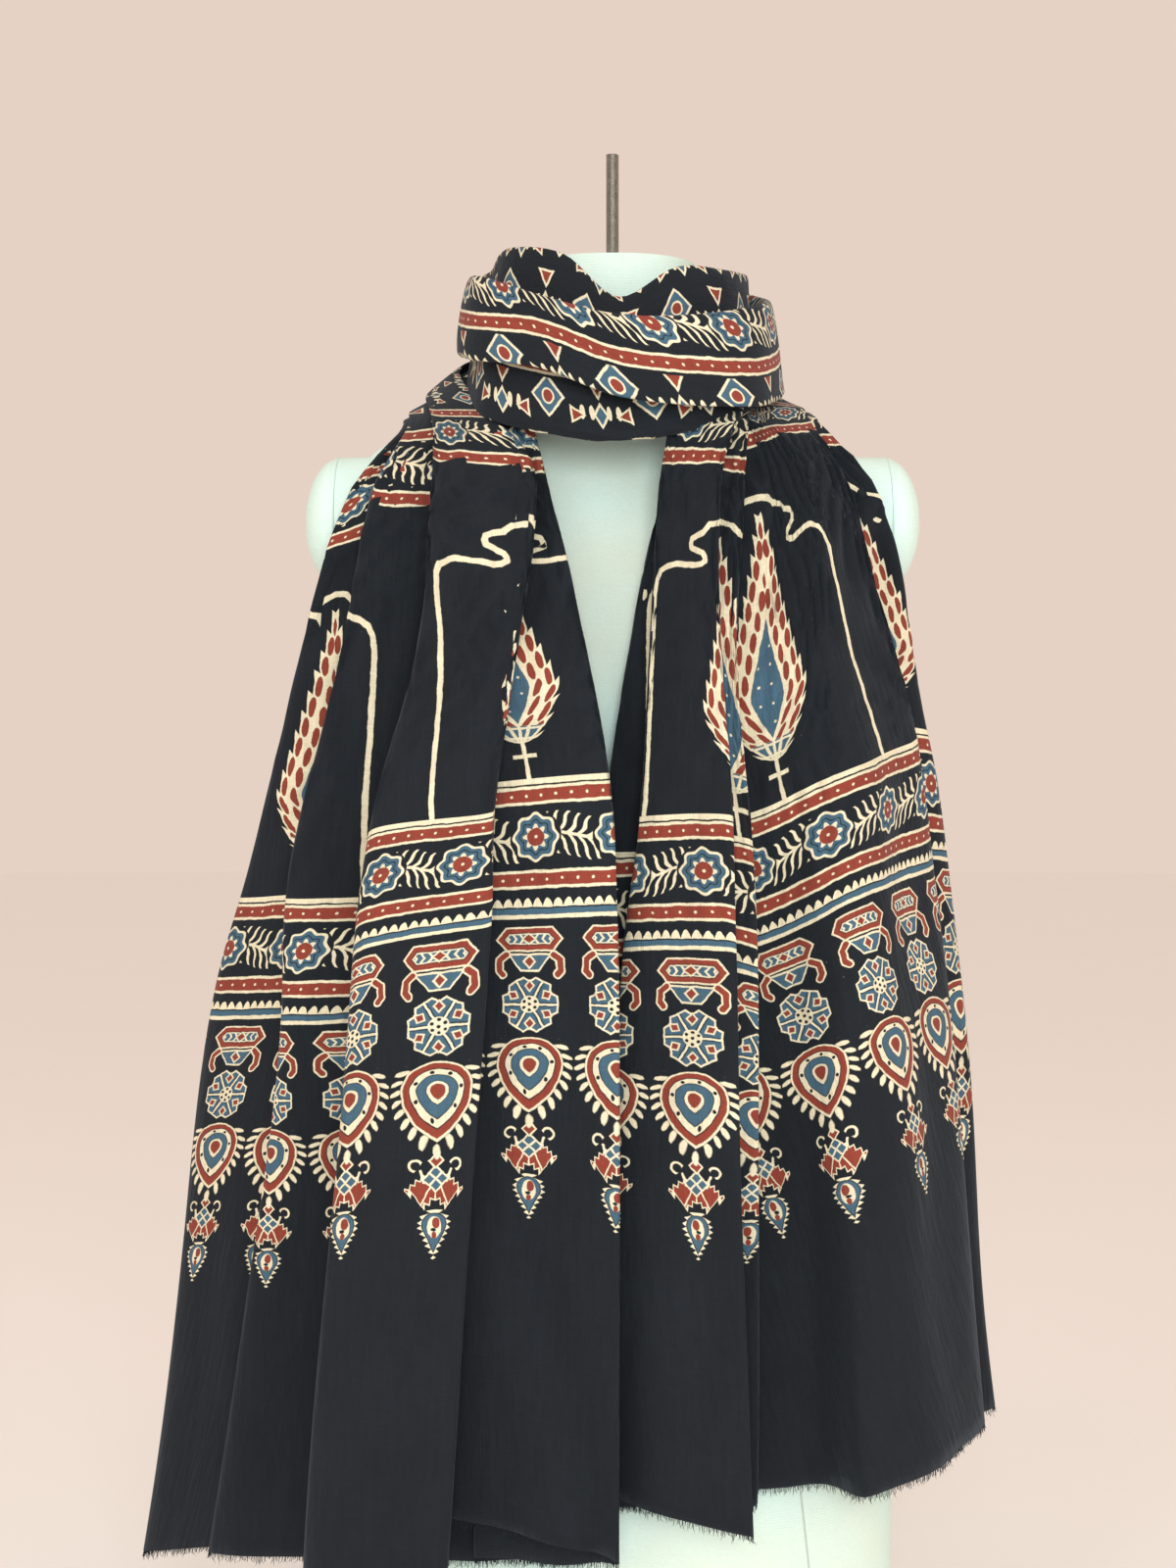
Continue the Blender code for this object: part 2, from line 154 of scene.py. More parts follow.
# Where the print lies on the folds, in mm across the flat cloth, at the same four places as the
# fold tables. A fold line without a value is hidden, and the print runs on to it at full size.
HIDDEN = (math.nan,) * 4
LEFT_PRINT = (
    HIDDEN, (346, 313, 312, 366), HIDDEN, (372, 414, 396, 430), HIDDEN, (496, 508, 503, 556),
    (581, 591, 585, 612), HIDDEN, (674, 670, 666, 672), HIDDEN, HIDDEN, HIDDEN,
)
RIGHT_PRINT = (
    HIDDEN, (290, 330, 345, 345), HIDDEN, (585, 474, 505, 497), (680, 592, 585, 542),
    (712, 641, 633, 605), HIDDEN, (840, 860, 858, 850), HIDDEN, (884, 883, 879, 884),
    (968, 952, 942, 940), HIDDEN,
)
# In the cowl, the lower edges of its two rolls and the upper edge of its inner layer show.
NECK_PRINT = (
    HIDDEN, HIDDEN, HIDDEN, (33,) * 4, HIDDEN, (51,) * 4,
    HIDDEN, HIDDEN, (195,) * 4, HIDDEN, HIDDEN, HIDDEN,
)
# The place along the cloth at the hem, the border's foot and its top, and then, for each fold line,
# at the foot of the upper border.
LEFT_LEVELS = (-185, 195, 277)
RIGHT_LEVELS = (-150, 195, 277)
LEFT_UPPER = (482, 482, 476, 470, 497, 455, 482, 482, 482, 482, 482, 482)
RIGHT_UPPER = (444, 446, 450, 452, 458, 466, 480, 482, 482, 482, 482, 482)
# Sections, counted from the left hem, where one end's print meets the next, and the one on each
# shoulder, counted from its own hem. Past the shoulder the guide fold sets the place along.
LEFT_PRINT_END_SECTION = 8
RIGHT_PRINT_START_SECTION = 21
SHOULDER_SECTION = 6
GUIDE_FOLD = 5

# ---------------------------------------------------------------- the print

DROP_PITCH = 53.0
DROP_PHASE = 34.0
RIGHT_DROP_PHASE = 6.5
FLOWER_PITCH = 50.0
FLOWER_PHASE = 21.0
RIGHT_FLOWER_PHASE = 48.0
ARCH_PITCH = 247.5
BORDER_FOOT = 195.0
ARCH_FOOT = 277.0
UPPER_BORDER_FOOT = 482.0
FIELD_FOOT = 542.0
EDGE_SOFTNESS = 0.45
HALF_WIDTH = 495.0


def from_srgb(red, green, blue):
    """A shader's colour from the 0 to 255 values of a picture."""
    scaled = [value / 255 for value in (red, green, blue)]
    return tuple(v / 12.92 if v <= 0.04045 else ((v + 0.055) / 1.055) ** 2.4 for v in scaled)


BLACK_DYE = from_srgb(24, 29, 35)
CREAM = from_srgb(226, 216, 186)
RED = from_srgb(136, 60, 47)
BLUE = from_srgb(66, 97, 116)
LINT = from_srgb(170, 168, 160)
CANVAS = from_srgb(216, 244, 238)
YELLOWED = from_srgb(232, 228, 202)
SEAM_SHADE = from_srgb(176, 182, 170)
WORN_STEEL = from_srgb(118, 112, 104)
BRIGHT_STEEL = from_srgb(176, 172, 164)
BACKGROUND = from_srgb(230, 210, 196)
FLOOR = from_srgb(253, 253, 252)


# ---------------------------------------------------------------- geometry helpers


def add_object(name, mesh, materials):
    obj = bpy.data.objects.new(name, mesh)
    for material in materials:
        obj.data.materials.append(material)
    bpy.context.scene.collection.objects.link(obj)
    return obj


def smooth_spline(points, steps_per_gap):
    """A centripetal Catmull-Rom curve through the points, with as many steps in each gap as told."""
    points = np.asarray(points, float)
    ends = [2 * points[0] - points[1], *points, 2 * points[-1] - points[-2]]
    curve = [points[0]]
    for gap, steps in enumerate(steps_per_gap):
        p0, p1, p2, p3 = ends[gap : gap + 4]
        t1 = np.linalg.norm(p1 - p0) ** 0.5
        t2 = t1 + np.linalg.norm(p2 - p1) ** 0.5
        t3 = t2 + np.linalg.norm(p3 - p2) ** 0.5
        for step in range(1, steps + 1):
            t = t1 + (t2 - t1) * step / steps
            a1 = (t1 - t) / t1 * p0 + t / t1 * p1
            a2 = (t2 - t) / (t2 - t1) * p1 + (t - t1) / (t2 - t1) * p2
            a3 = (t3 - t) / (t3 - t2) * p2 + (t - t2) / (t3 - t2) * p3
            b1 = (t2 - t) / t2 * a1 + t / t2 * a2
            b2 = (t3 - t) / (t3 - t1) * a2 + (t - t1) / (t3 - t1) * a3
            curve.append((t2 - t) / (t2 - t1) * b1 + (t - t1) / (t2 - t1) * b2)
    return np.array(curve)


def join_rings(bm, rings):
    for near, far in zip(rings, rings[1:]):
        for step in range(len(near)):
            bm.faces.new((near[step - 1], near[step], far[step], far[step - 1]))


def close_to_point(bm, ring, place):
    tip = bm.verts.new(place)
    for step in range(len(ring)):
        bm.faces.new((ring[step - 1], ring[step], tip))


def finished_mesh(bm, name, sharp_degrees=None):
    """The mesh with its faces turned outwards, and smooth except at angles sharper than told."""
    bmesh.ops.recalc_face_normals(bm, faces=bm.faces)
    mesh = bpy.data.meshes.new(name)
    bm.to_mesh(mesh)
    bm.free()
    if sharp_degrees is not None:
        mesh.shade_smooth()
        mesh.set_sharp_from_angle(angle=math.radians(sharp_degrees))
    return mesh


def ease(low, high, values):
    """0 below low, 1 above high and a smooth step in between."""
    t = np.clip((values - low) / (high - low), 0, 1)
    return t * t * (3 - 2 * t)


# ---------------------------------------------------------------- the cloth


def end_sections(folds, last_first):
    """The hanging end's four sections, each a row of points, from the hem up or from the top down."""
    sections = [[np.array(row[level]) * MM for row in folds] for level in range(4)]
    return sections[::-1] if last_first else sections


def gathered_section(corner, across, out, layout):
    corner, across, out = (np.array(vector) for vector in (corner, across, out))
    return [corner + a * across + b * out for a, b in layout]


def mixed_layout(mix):
    """One of the four layouts at 0, 1, 2 and 3, or a mix of two of them in between."""
    layouts = [np.array(layout) for layout in (LEFT_BUNDLE, COWL_ROLLS, OPEN_WAVE, RIGHT_BUNDLE)]
    first = min(int(mix), 2)
    return layouts[first] + (layouts[first + 1] - layouts[first]) * (mix - first)


def neck_place(turn, radius, height):
    """The point at that turn round the neck, radius from its axis and height."""
    angle = math.radians(turn)
    return np.array((NECK_AXIS_X - radius * math.sin(angle), -radius * math.cos(angle), height))


def neck_section(turn, radius, height, across_r, across_z, out_r, out_z, mix):
    corner = neck_place(turn, radius, height)
    across = neck_place(turn, radius + across_r, height + across_z) - corner
    out = neck_place(turn, radius + out_r, height + out_z) - corner
    return gathered_section(corner, across, out, mixed_layout(mix))


def cowl_section(turn, *folds):
    """A section through the cowl, given as radius and height in mm for each fold line."""
    return [neck_place(turn, radius * MM, height * MM) for radius, height in folds]


def cloth_sections():
    """Every section of the cloth from the left hem to the right one, with the steps after each."""
    left = end_sections(LEFT_END_FOLDS, last_first=False)
    right = end_sections(RIGHT_END_FOLDS, last_first=True)
    neck = {row[0]: neck_section(*row) for row in NECK_SECTIONS}
    neck.update({row[0]: cowl_section(*row) for row in COWL_SECTIONS})
    round_neck = [neck[turn] for turn in sorted(neck)]
    middle = [gathered_section(*LEFT_CHEST, LEFT_BUNDLE), *round_neck]
    middle.append(gathered_section(*RIGHT_CHEST, RIGHT_BUNDLE))
    sections = np.array([*left, *middle, *right])
    end_steps = [SAMPLES_MARGIN_AND_DROPS, SAMPLES_LOWER_BORDER, SAMPLES_ARCHES]
    neck_steps = [SAMPLES_NECK] * (len(middle) + 1)
    return sections, [*end_steps, *neck_steps, *end_steps[::-1]]


def cloth_grid():
    """The cloth's middle surface as a grid of points, and the grid row of each section."""
    sections, steps_along = cloth_sections()
    across = [SAMPLES_ACROSS] * (sections.shape[1] - 1)
    lines = [smooth_spline(sections[:, fold], steps_along) for fold in range(sections.shape[1])]
    grid = np.array([smooth_spline(row, across) for row in np.array(lines).transpose(1, 0, 2)])
    return grid, np.cumsum([0, *steps_along])


def print_across(grid, knots, section_rows, last_first):
    """The place across the flat cloth of each grid point, given for each gap between folds.

    Both ends of a gap may be known, or one end, from which the print then runs on at full size."""
    rows = np.arange(len(grid))
    levels = section_rows[-4:][::-1] if last_first else section_rows[:4]
    order = np.argsort(levels)
    at_rows = [np.interp(rows, levels[order], np.array(knot, float)[order]) for knot in knots]
    steps = np.linalg.norm(np.diff(grid, axis=1), axis=2) / MM
    places = []
    end_of_last = np.zeros(len(grid))
    for gap in range(len(knots) - 1):
        here = steps[:, gap * SAMPLES_ACROSS : (gap + 1) * SAMPLES_ACROSS]
        arc = np.hstack([np.zeros((len(grid), 1)), np.cumsum(here, axis=1)])
        length = arc[:, -1:]
        start, end = at_rows[gap][:, None], at_rows[gap + 1][:, None]
        start_known, end_known = not np.isnan(start).any(), not np.isnan(end).any()
        if start_known and end_known:
            place = start + (end - start) * arc / length
        elif start_known:
            place = start + arc
        elif end_known:
            place = end - (length - arc)
        else:
            place = end_of_last[:, None] + arc
        end_of_last = place[:, -1]
        places.append(place)
    return np.array(places).transpose(1, 0, 2)


def print_along(grid, levels, upper, section_rows, shoulder_row):
    """The place along the flat cloth of each grid point, for the end whose hem is row 0."""
    columns = np.arange(grid.shape[1]) / SAMPLES_ACROSS
    levels = [*levels, np.interp(columns, np.arange(len(upper)), upper)]
    steps = np.linalg.norm(np.diff(grid, axis=0), axis=2) / MM
    arc = np.vstack([np.zeros((1, grid.shape[1])), np.cumsum(steps, axis=0)])
    place = np.zeros(grid.shape[:2])
    for low, high, start, end in zip(levels, levels[1:], section_rows, section_rows[1:4]):
        part = (arc[start : end + 1] - arc[start]) / (arc[end] - arc[start])
        place[start : end + 1] = low + (high - low) * part
    top = section_rows[3]
    place[top : shoulder_row + 1] = levels[3] + arc[top : shoulder_row + 1] - arc[top]
    guide = arc[:, GUIDE_FOLD * SAMPLES_ACROSS]
    for row in range(shoulder_row + 1, len(grid)):
        place[row] = place[row - 1] + guide[row] - guide[row - 1]
    return place


def wave_sum(points, rng, count, wavelengths_xy, wavelengths_z):
    """A sum of plane waves of seeded random direction, from -1 to 1."""
    total = np.zeros(points.shape[:2])
    for _ in range(count):
        heading = rng.uniform(0, 2 * math.pi)
        across = 2 * math.pi / rng.uniform(*wavelengths_xy)
        rise = 2 * math.pi / rng.uniform(*wavelengths_z) * rng.choice((-1, 1))
        direction = np.array((across * math.cos(heading), across * math.sin(heading), rise))
        total += np.sin(points @ direction + rng.uniform(0, 2 * math.pi))
    return total / count


# Depths, lengths and pitches of the small folds, in metres. A zone is the pair of values between
# which a kind of fold comes in or goes out: heights, or places from front to back. A turn zone and
# the places in the fan are given as the sine of the turn round the neck from the middle. In the
# functions that use these, drift is the slow wander that keeps pleats from being even.
SOFT_FOLD_SEED = 11
SOFT_FOLD_DEPTH = 0.0095
SOFT_FOLD_WAVES = 7
SOFT_FOLD_GAIN = 1.9
SOFT_FOLD_WIDTHS = (0.045, 0.110)
SOFT_FOLD_LENGTHS = (0.30, 0.90)
OUTWARDS_ONLY_ZONE = (0.60, 0.74)
NECK_ZONE = (0.785, 0.835)
NECK_FOLD_TURN_ZONE = (0.088, 0.108)
COWL_CREASE_DEPTH = 0.0028
COWL_CREASE_PITCH = 0.021
LAST_CREASED_FOLD = 7.6
NAPE_PLEAT_DEPTH = 0.0065
NAPE_PLEAT_PITCH = 0.024
NAPE_ZONE = (0.030, 0.075)
FAN_PLEAT_DEPTH = 0.0077
FAN_PLEATS = 9
FAN_INNER_EDGE = 0.03
FAN_RIGHT_SHIFT = 1.7
FAN_FOOT_ZONE = (0.42, 0.70)
FAN_TOP_ZONE = (0.775, 0.80)
FAN_BACK_ZONE = (-0.05, -0.02)
# The outer edge of the fan of pleats, from its inner edge, at each height.
FAN_WIDTHS = ((0.05, 0.30), (0.42, 0.26), (0.58, 0.235), (0.75, 0.14), (0.80, 0.115))
# A valley in the innermost panels of the left end, as height and place across.
LEFT_VALLEY_LINE = ((0.115, -0.008), (0.145, -0.016), (0.224, -0.031), (0.300, -0.055))
LEFT_VALLEY_DEPTH = 0.009
LEFT_VALLEY_WIDTH = 0.012
LEFT_VALLEY_FOLD = 7
LEFT_VALLEY_TOP_ZONE = (0.26, 0.37)


def soft_folds(grid):
    """The depth outwards of the long soft folds below the neck."""
    rng = np.random.default_rng(SOFT_FOLD_SEED)
    z = grid[..., 2]
    waves = wave_sum(grid, rng, SOFT_FOLD_WAVES, SOFT_FOLD_WIDTHS, SOFT_FOLD_LENGTHS)
    long_folds = np.clip(SOFT_FOLD_GAIN * waves, -1, 1)
    outwards_only = ease(*OUTWARDS_ONLY_ZONE, z)
    return (1 - ease(*NECK_ZONE, z)) * SOFT_FOLD_DEPTH * 0.5 * (outwards_only + long_folds)


def neck_folds(grid, outward, fold):
    """The depth outwards of the cowl's creases in front and of the wider pleats behind the neck."""
    y, z = grid[..., 1], grid[..., 2]
    turn_sine = outward[..., 0]
    turn = np.arctan2(turn_sine, -outward[..., 1])
    drift = 1.6 * np.sin(2 * turn + 1.0) + 0.8 * np.sin(5 * turn) + 0.5 * np.sin(11 * turn + 2.0)
    pleats = np.sin(2 * math.pi * z / NAPE_PLEAT_PITCH + 0.7 * drift)
    creases = np.sin(2 * math.pi * (z + 0.12 * turn_sine) / COWL_CREASE_PITCH + drift)
    behind = ease(*NAPE_ZONE, y)
    creased = (1 - behind) * (1 - ease(LAST_CREASED_FOLD - 1, LAST_CREASED_FOLD, fold))
    depth = creased * COWL_CREASE_DEPTH * (0.5 + 0.5 * creases)
    depth += behind * NAPE_PLEAT_DEPTH * (0.5 + 0.5 * pleats)
    near_middle = 1 - ease(*NECK_FOLD_TURN_ZONE, np.abs(turn_sine))
    return ease(*NECK_ZONE, z) * near_middle * depth


def fan_pleats(grid, outward):
    """The depth forwards of the pleats that fan out from each shoulder down the front."""
    y, z = grid[..., 1], grid[..., 2]
    turn_sine = outward[..., 0]
    heights, widths = np.array(FAN_WIDTHS).T
    place = (np.abs(turn_sine) - FAN_INNER_EDGE) / np.interp(z, heights, widths)
    shift = np.where(turn_sine < 0, 0.0, FAN_RIGHT_SHIFT)
    drift = 0.9 * np.sin(5.3 * place + shift) + 0.5 * np.sin(9 * z + 2 * shift)
    pleats = 0.5 + 0.5 * np.sin(2 * math.pi * FAN_PLEATS * place + shift + 1.4 * drift)
    in_front = 1 - ease(*FAN_BACK_ZONE, y)
    gathered = ease(*FAN_FOOT_ZONE, z) * (1 - ease(*FAN_TOP_ZONE, z)) * in_front
    return FAN_PLEAT_DEPTH * gathered * pleats


def left_valley(grid, fold):
    """The depth backwards of the valley down the innermost panels of the left end."""
    z = grid[..., 2]
    heights, places = np.array(LEFT_VALLEY_LINE).T
    off_line = (grid[..., 0] - np.interp(z, heights, places)) / LEFT_VALLEY_WIDTH
    in_left_half = (np.arange(len(grid)) < len(grid) // 2)[:, None]
    at_left_end = in_left_half & (fold > LEFT_VALLEY_FOLD)
    fading = at_left_end * (1 - ease(*LEFT_VALLEY_TOP_ZONE, z))
    return LEFT_VALLEY_DEPTH * fading * np.exp(-off_line * off_line)


def add_small_folds(grid):
    """Moves the cloth by small folds, with all its layers moved alike so that they keep apart."""
    fold = np.arange(grid.shape[1]) / SAMPLES_ACROSS
    outward = (grid - (NECK_AXIS_X, 0.0, 0.0)) * (1.0, 1.0, 0.0)
    outward /= np.linalg.norm(outward, axis=2, keepdims=True)
    depth = soft_folds(grid) + neck_folds(grid, outward, fold)
    shaped = grid + outward * depth[..., None]
    shaped[..., 1] += left_valley(grid, fold) - fan_pleats(grid, outward)
    return shaped


def face_corners(grid):
    """The values of a grid at the four corners of each of its faces, in order round the face."""
    near, far = grid[:-1], grid[1:]
    return np.stack([near[..., :-1], near[..., 1:], far[..., 1:], far[..., :-1]], axis=-1)


def cloth_print(grid, section_rows):
    """The print's place at the four corners of each face, as an array (row, column, corner, 2)."""
    last_row = len(grid) - 1
    left_end = section_rows[LEFT_PRINT_END_SECTION]
    right_start = section_rows[RIGHT_PRINT_START_SECTION]
    left_shoulder = section_rows[SHOULDER_SECTION]
    right_shoulder = last_row - section_rows[-1 - SHOULDER_SECTION]
    left = print_across(grid, LEFT_PRINT, section_rows, last_first=False)
    neck = print_across(grid, NECK_PRINT, section_rows, last_first=False)
    right = print_across(grid, RIGHT_PRINT, section_rows, last_first=True)
    from_left = print_along(grid, LEFT_LEVELS, LEFT_UPPER, section_rows, left_shoulder)
    mirrored_rows = last_row - section_rows[::-1]
    from_right = print_along(grid[::-1], RIGHT_LEVELS, RIGHT_UPPER, mirrored_rows, right_shoulder)
    parts = (
        (slice(left_end), left, from_left),
        (slice(left_end, right_start), neck, from_right[::-1]),
        (slice(right_start, last_row), right, from_right[::-1]),
    )
    corners = np.zeros((last_row, grid.shape[1] - 1, 4, 2))
    for rows, across, along in parts:
        corners[rows, ..., 0] = face_corners(across).reshape(corners.shape[:3])[rows]
        corners[rows, ..., 1] = face_corners(along)[rows]
    return corners


# The numbers of the zones, which are also those of the cloth's materials.
PLAIN, LEFT_DROPS, LEFT_BORDER, RIGHT_DROPS, RIGHT_BORDER, ARCHES, UPPER_BORDER, FIELD = range(8)


def print_zone(corners, middle_row):
    """The number of the zone that each face belongs to."""
    low, high = corners[..., 1].min(axis=2), corners[..., 1].max(axis=2)
    middle = corners[..., 1].mean(axis=2)
    right_end = (np.arange(len(corners)) > middle_row)[:, None]
    zone = np.full(middle.shape, PLAIN)
    zone[high > 0] = LEFT_DROPS
    zone[middle > BORDER_FOOT] = LEFT_BORDER
    zone[right_end & (zone == LEFT_DROPS)] = RIGHT_DROPS
    zone[right_end & (zone == LEFT_BORDER)] = RIGHT_BORDER
    zone[middle > ARCH_FOOT] = ARCHES
    zone[middle > UPPER_BORDER_FOOT] = UPPER_BORDER
    zone[low > FIELD_FOOT] = FIELD
    return zone


def make_cloth(materials):
    grid, section_rows = cloth_grid()
    corners = cloth_print(grid, section_rows)
    zones = print_zone(corners, section_rows[RIGHT_PRINT_START_SECTION])
    shaped = add_small_folds(grid)
    rows, columns = shaped.shape[:2]
    faces = face_corners(np.arange(rows * columns).reshape(rows, columns))
    mesh = bpy.data.meshes.new("cloth")
    mesh.from_pydata(shaped.reshape(-1, 3).tolist(), [], faces.reshape(-1, 4).tolist())
    mesh.shade_smooth()
    print_map = mesh.uv_layers.new(name="print")
    print_map.data.foreach_set("uv", corners.reshape(-1))
    flat_map = mesh.uv_layers.new(name="OFBake")
    flat_map.data.foreach_set("uv", flat_layout(rows, columns).reshape(-1))
    mesh.polygons.foreach_set("material_index", zones.reshape(-1))
    cloth = add_object("printed_dupatta", mesh, materials)
    thickness = cloth.modifiers.new("thickness", "SOLIDIFY")
    thickness.thickness = CLOTH_THICKNESS
    thickness.offset = 0.0
    return cloth, shaped


def flat_layout(rows, columns):
    """The face corners of the cloth laid out flat and side by side, for a baked picture of it."""
    places = np.meshgrid(np.linspace(0, 1, rows), np.linspace(0, 1, columns), indexing="ij")
    return np.stack([face_corners(place) for place in places], axis=-1)


THREAD_SPACING = 0.0009
THREAD_RADIUS = 0.00026
THREAD_LENGTHS = (0.0012, 0.0070)
THREAD_SIDES = 3
THREAD_ROOT = 0.001
THREAD_BEND = 0.35
THREAD_SEEDS = (3, 4)


def thread_ring(bm, centre):
    turns = [2 * math.pi * side / THREAD_SIDES for side in range(THREAD_SIDES)]
    offsets = [Vector((math.cos(turn), math.sin(turn), 0)) * THREAD_RADIUS for turn in turns]
    return [bm.verts.new(centre + offset) for offset in offsets]


def make_raw_threads(name, hem, inner, seed, material):
    """The loose warp threads along a raw hem, each a thin bent spike."""
    rng = np.random.default_rng(seed)
    lengths = np.linalg.norm(np.diff(hem, axis=0), axis=1)
    arc = np.concatenate([[0], np.cumsum(lengths)])
    places = np.arange(0, arc[-1], THREAD_SPACING)
    places = places + rng.uniform(-0.4, 0.4, len(places)) * THREAD_SPACING
    feet = np.stack([np.interp(places, arc, hem[:, axis]) for axis in range(3)], axis=1)
    above = np.stack([np.interp(places, arc, inner[:, axis]) for axis in range(3)], axis=1)
    bm = bmesh.new()
    for foot, point_above in zip(feet, above):
        foot = Vector(foot)
        down = (foot - Vector(point_above)).normalized()
        bend = Vector(rng.normal(0, THREAD_BEND, 3))
        length = rng.uniform(*THREAD_LENGTHS)
        centres = (foot - down * THREAD_ROOT, foot + down * length * 0.5)
        rings = [thread_ring(bm, centre) for centre in centres]
        join_rings(bm, rings)
        bm.faces.new(rings[0][::-1])
        close_to_point(bm, rings[1], foot + (down + bend).normalized() * length)
    return add_object(name, finished_mesh(bm, name), [material])


# ---------------------------------------------------------------- shader arithmetic


class Value:
    """A number that a material works out at each point, written like ordinary arithmetic."""

    tree = None

    def __init__(self, socket):
        self.socket = socket

    def __add__(self, other):
        return calc("ADD", self, other)

    def __sub__(self, other):
        return calc("SUBTRACT", self, other)

    def __rsub__(self, other):
        return calc("SUBTRACT", other, self)

    def __mul__(self, other):
        return calc("MULTIPLY", self, other)

    def __truediv__(self, other):
        return calc("DIVIDE", self, other)

    __radd__ = __add__
    __rmul__ = __mul__


def add_node(kind):
    return Value.tree.nodes.new(kind)


def link(source, target):
    Value.tree.links.new(source, target)


def calc(operation, *values, clamp=False):
    node = add_node("ShaderNodeMath")
    node.operation = operation
    node.use_clamp = clamp
    for socket, value in zip(node.inputs, values):
        if isinstance(value, Value):
            link(value.socket, socket)
        else:
            socket.default_value = value
    return Value(node.outputs[0])


def absolute(value):
    return calc("ABSOLUTE", value)


def least(a, b):
    return calc("MINIMUM", a, b)


def most(a, b):
    return calc("MAXIMUM", a, b)


def tile(value, pitch):
    """The value's distance from the nearest multiple of the pitch."""
    return calc("WRAP", value, pitch / 2, -pitch / 2)


def as_point(x, y):
    node = add_node("ShaderNodeCombineXYZ")
    for socket, value in zip(node.inputs, (x, y)):
        link(value.socket, socket)
    return node.outputs[0]


def vector_calc(operation, a, b=None, scale=None):
    node = add_node("ShaderNodeVectorMath")
    node.operation = operation
    for socket, value in zip(node.inputs, (a, b)):
        if value is None:
            continue
        if isinstance(value, bpy.types.NodeSocket):
            link(value, socket)
        else:
            socket.default_value = value
    if scale is not None:
        link(scale.socket, node.inputs["Scale"])
    return node


def distance(x, y):
    return Value(vector_calc("LENGTH", as_point(x, y)).outputs["Value"])


def inside(gap):
    """1 where the signed distance is negative, 0 where it is positive, with a soft edge."""
    return calc("MULTIPLY_ADD", gap, -1 / EDGE_SOFTNESS, 0.5, clamp=True)


def paint(ground, ink, mask):
    """The ground with the ink laid over it where the mask is 1."""
    node = add_node("ShaderNodeMix")
    node.data_type = "RGBA"
    link(mask.socket, node.inputs[0])
    for socket, colour in ((node.inputs[6], ground), (node.inputs[7], ink)):
        if isinstance(colour, bpy.types.NodeSocket):
            link(colour, socket)
        else:
            socket.default_value = (*colour, 1.0)
    return node.outputs[2]


def diamond(x, y, half_width, half_height):
    """The signed distance to a diamond's outline."""
    slope = half_width * half_height / math.hypot(half_width, half_height)
    sum_of_parts = calc("MULTIPLY_ADD", absolute(y), 1 / half_height, -1.0)
    return calc("MULTIPLY_ADD", absolute(x), 1 / half_width, sum_of_parts) * slope


def slab(value, low, high):
    """The signed distance to the band between low and high."""
    return absolute(value - (low + high) / 2) - (high - low) / 2


def box(x, y, half_width, half_height):
    return most(absolute(x) - half_width, absolute(y) - half_height)


def segment(point, start, end):
    """The distance to the straight line from start to end."""
    run = (end[0] - start[0], end[1] - start[1], 0.0)
    span = run[0] ** 2 + run[1] ** 2
    offset = vector_calc("SUBTRACT", point, (*start, 0.0)).outputs[0]
    along = Value(vector_calc("DOT_PRODUCT", offset, run).outputs["Value"])
    share = calc("MULTIPLY", along, 1 / span, clamp=True)
    reach = vector_calc("SCALE", run, scale=share).outputs[0]
    rest = vector_calc("SUBTRACT", offset, reach).outputs[0]
    return Value(vector_calc("LENGTH", rest).outputs["Value"])


def polyline(point, path):
    """The distance to a line through the path's points."""
    nearest = segment(point, path[0], path[1])
    for start, end in zip(path[1:], path[2:]):
        nearest = least(nearest, segment(point, start, end))
    return nearest


def turn_of(x, y):
    """The angle of the point, from 0 on the Y axis."""
    return calc("ARCTAN2", x, y)


# ---------------------------------------------------------------- motifs
# Places and sizes are in mm of flat cloth, from the middle of each motif unless told otherwise.


class Ground:
    """The cloth's colour at each point, on which the motifs are laid one after the other."""

    def __init__(self, colour):
        self.colour = colour

    def lay(self, ink, gap):
        """Covers the points where the signed distance is negative."""
        self.colour = paint(self.colour, ink, inside(gap))

    def lay_outlined(self, gap, ink, outline):
        """A motif with a cream outline of that width inside its edge."""
        self.lay(CREAM, gap)
        self.lay(ink, gap + outline)


def paint_dotted_band(ground, x, y):
    """A red band between cream lines, 10.8 mm from foot to top, with a row of cream dots."""
    ground.lay(CREAM, slab(y, 0.0, 10.8))
    ground.lay(RED, slab(y, 1.7, 9.0))
    dot = distance(tile(x, 9.2), y - 5.3) - 0.85
    ground.lay(CREAM, dot)


def paint_vine(ground, x, y):
    """Wavy-edged flowers on a leafy stem, in a strip 38 mm high about y = 0."""
    x = tile(x, FLOWER_PITCH)
    wave = calc("SINE", x * (2 * math.pi / FLOWER_PITCH)) * 2.6
    off_stem = absolute(y - wave)
    curl = off_stem * 0.75 + calc("SINE", off_stem * 0.42) * 1.5
    stroke = absolute(tile(x - curl, 6.3)) - calc("MULTIPLY_ADD", off_stem, -0.045, 1.35)
    leaves = most(stroke, absolute(off_stem - 6.5) - 6.0)
    stem = off_stem - 0.9
    turn = turn_of(x, y)
    radius = distance(x, y)
    beyond_flower = 16.0 - radius
    plants = most(least(leaves, stem), most(beyond_flower, absolute(y) - 14.5))
    ground.lay(CREAM, plants)
    lobes = radius - calc("MULTIPLY_ADD", calc("COSINE", turn * 8.0), 1.0, 13.8)
    ground.lay_outlined(lobes, BLUE, 1.7)
    rim = absolute(lobes + 4.6) - 0.35
    ground.lay(BLACK_DYE, rim)
    star = radius - calc("MULTIPLY_ADD", calc("COSINE", turn * 8.0), 1.3, 6.6)
    ground.lay(CREAM, star)
    ground.lay(RED, radius - 5.4)
    ground.lay(CREAM, radius - 1.0)


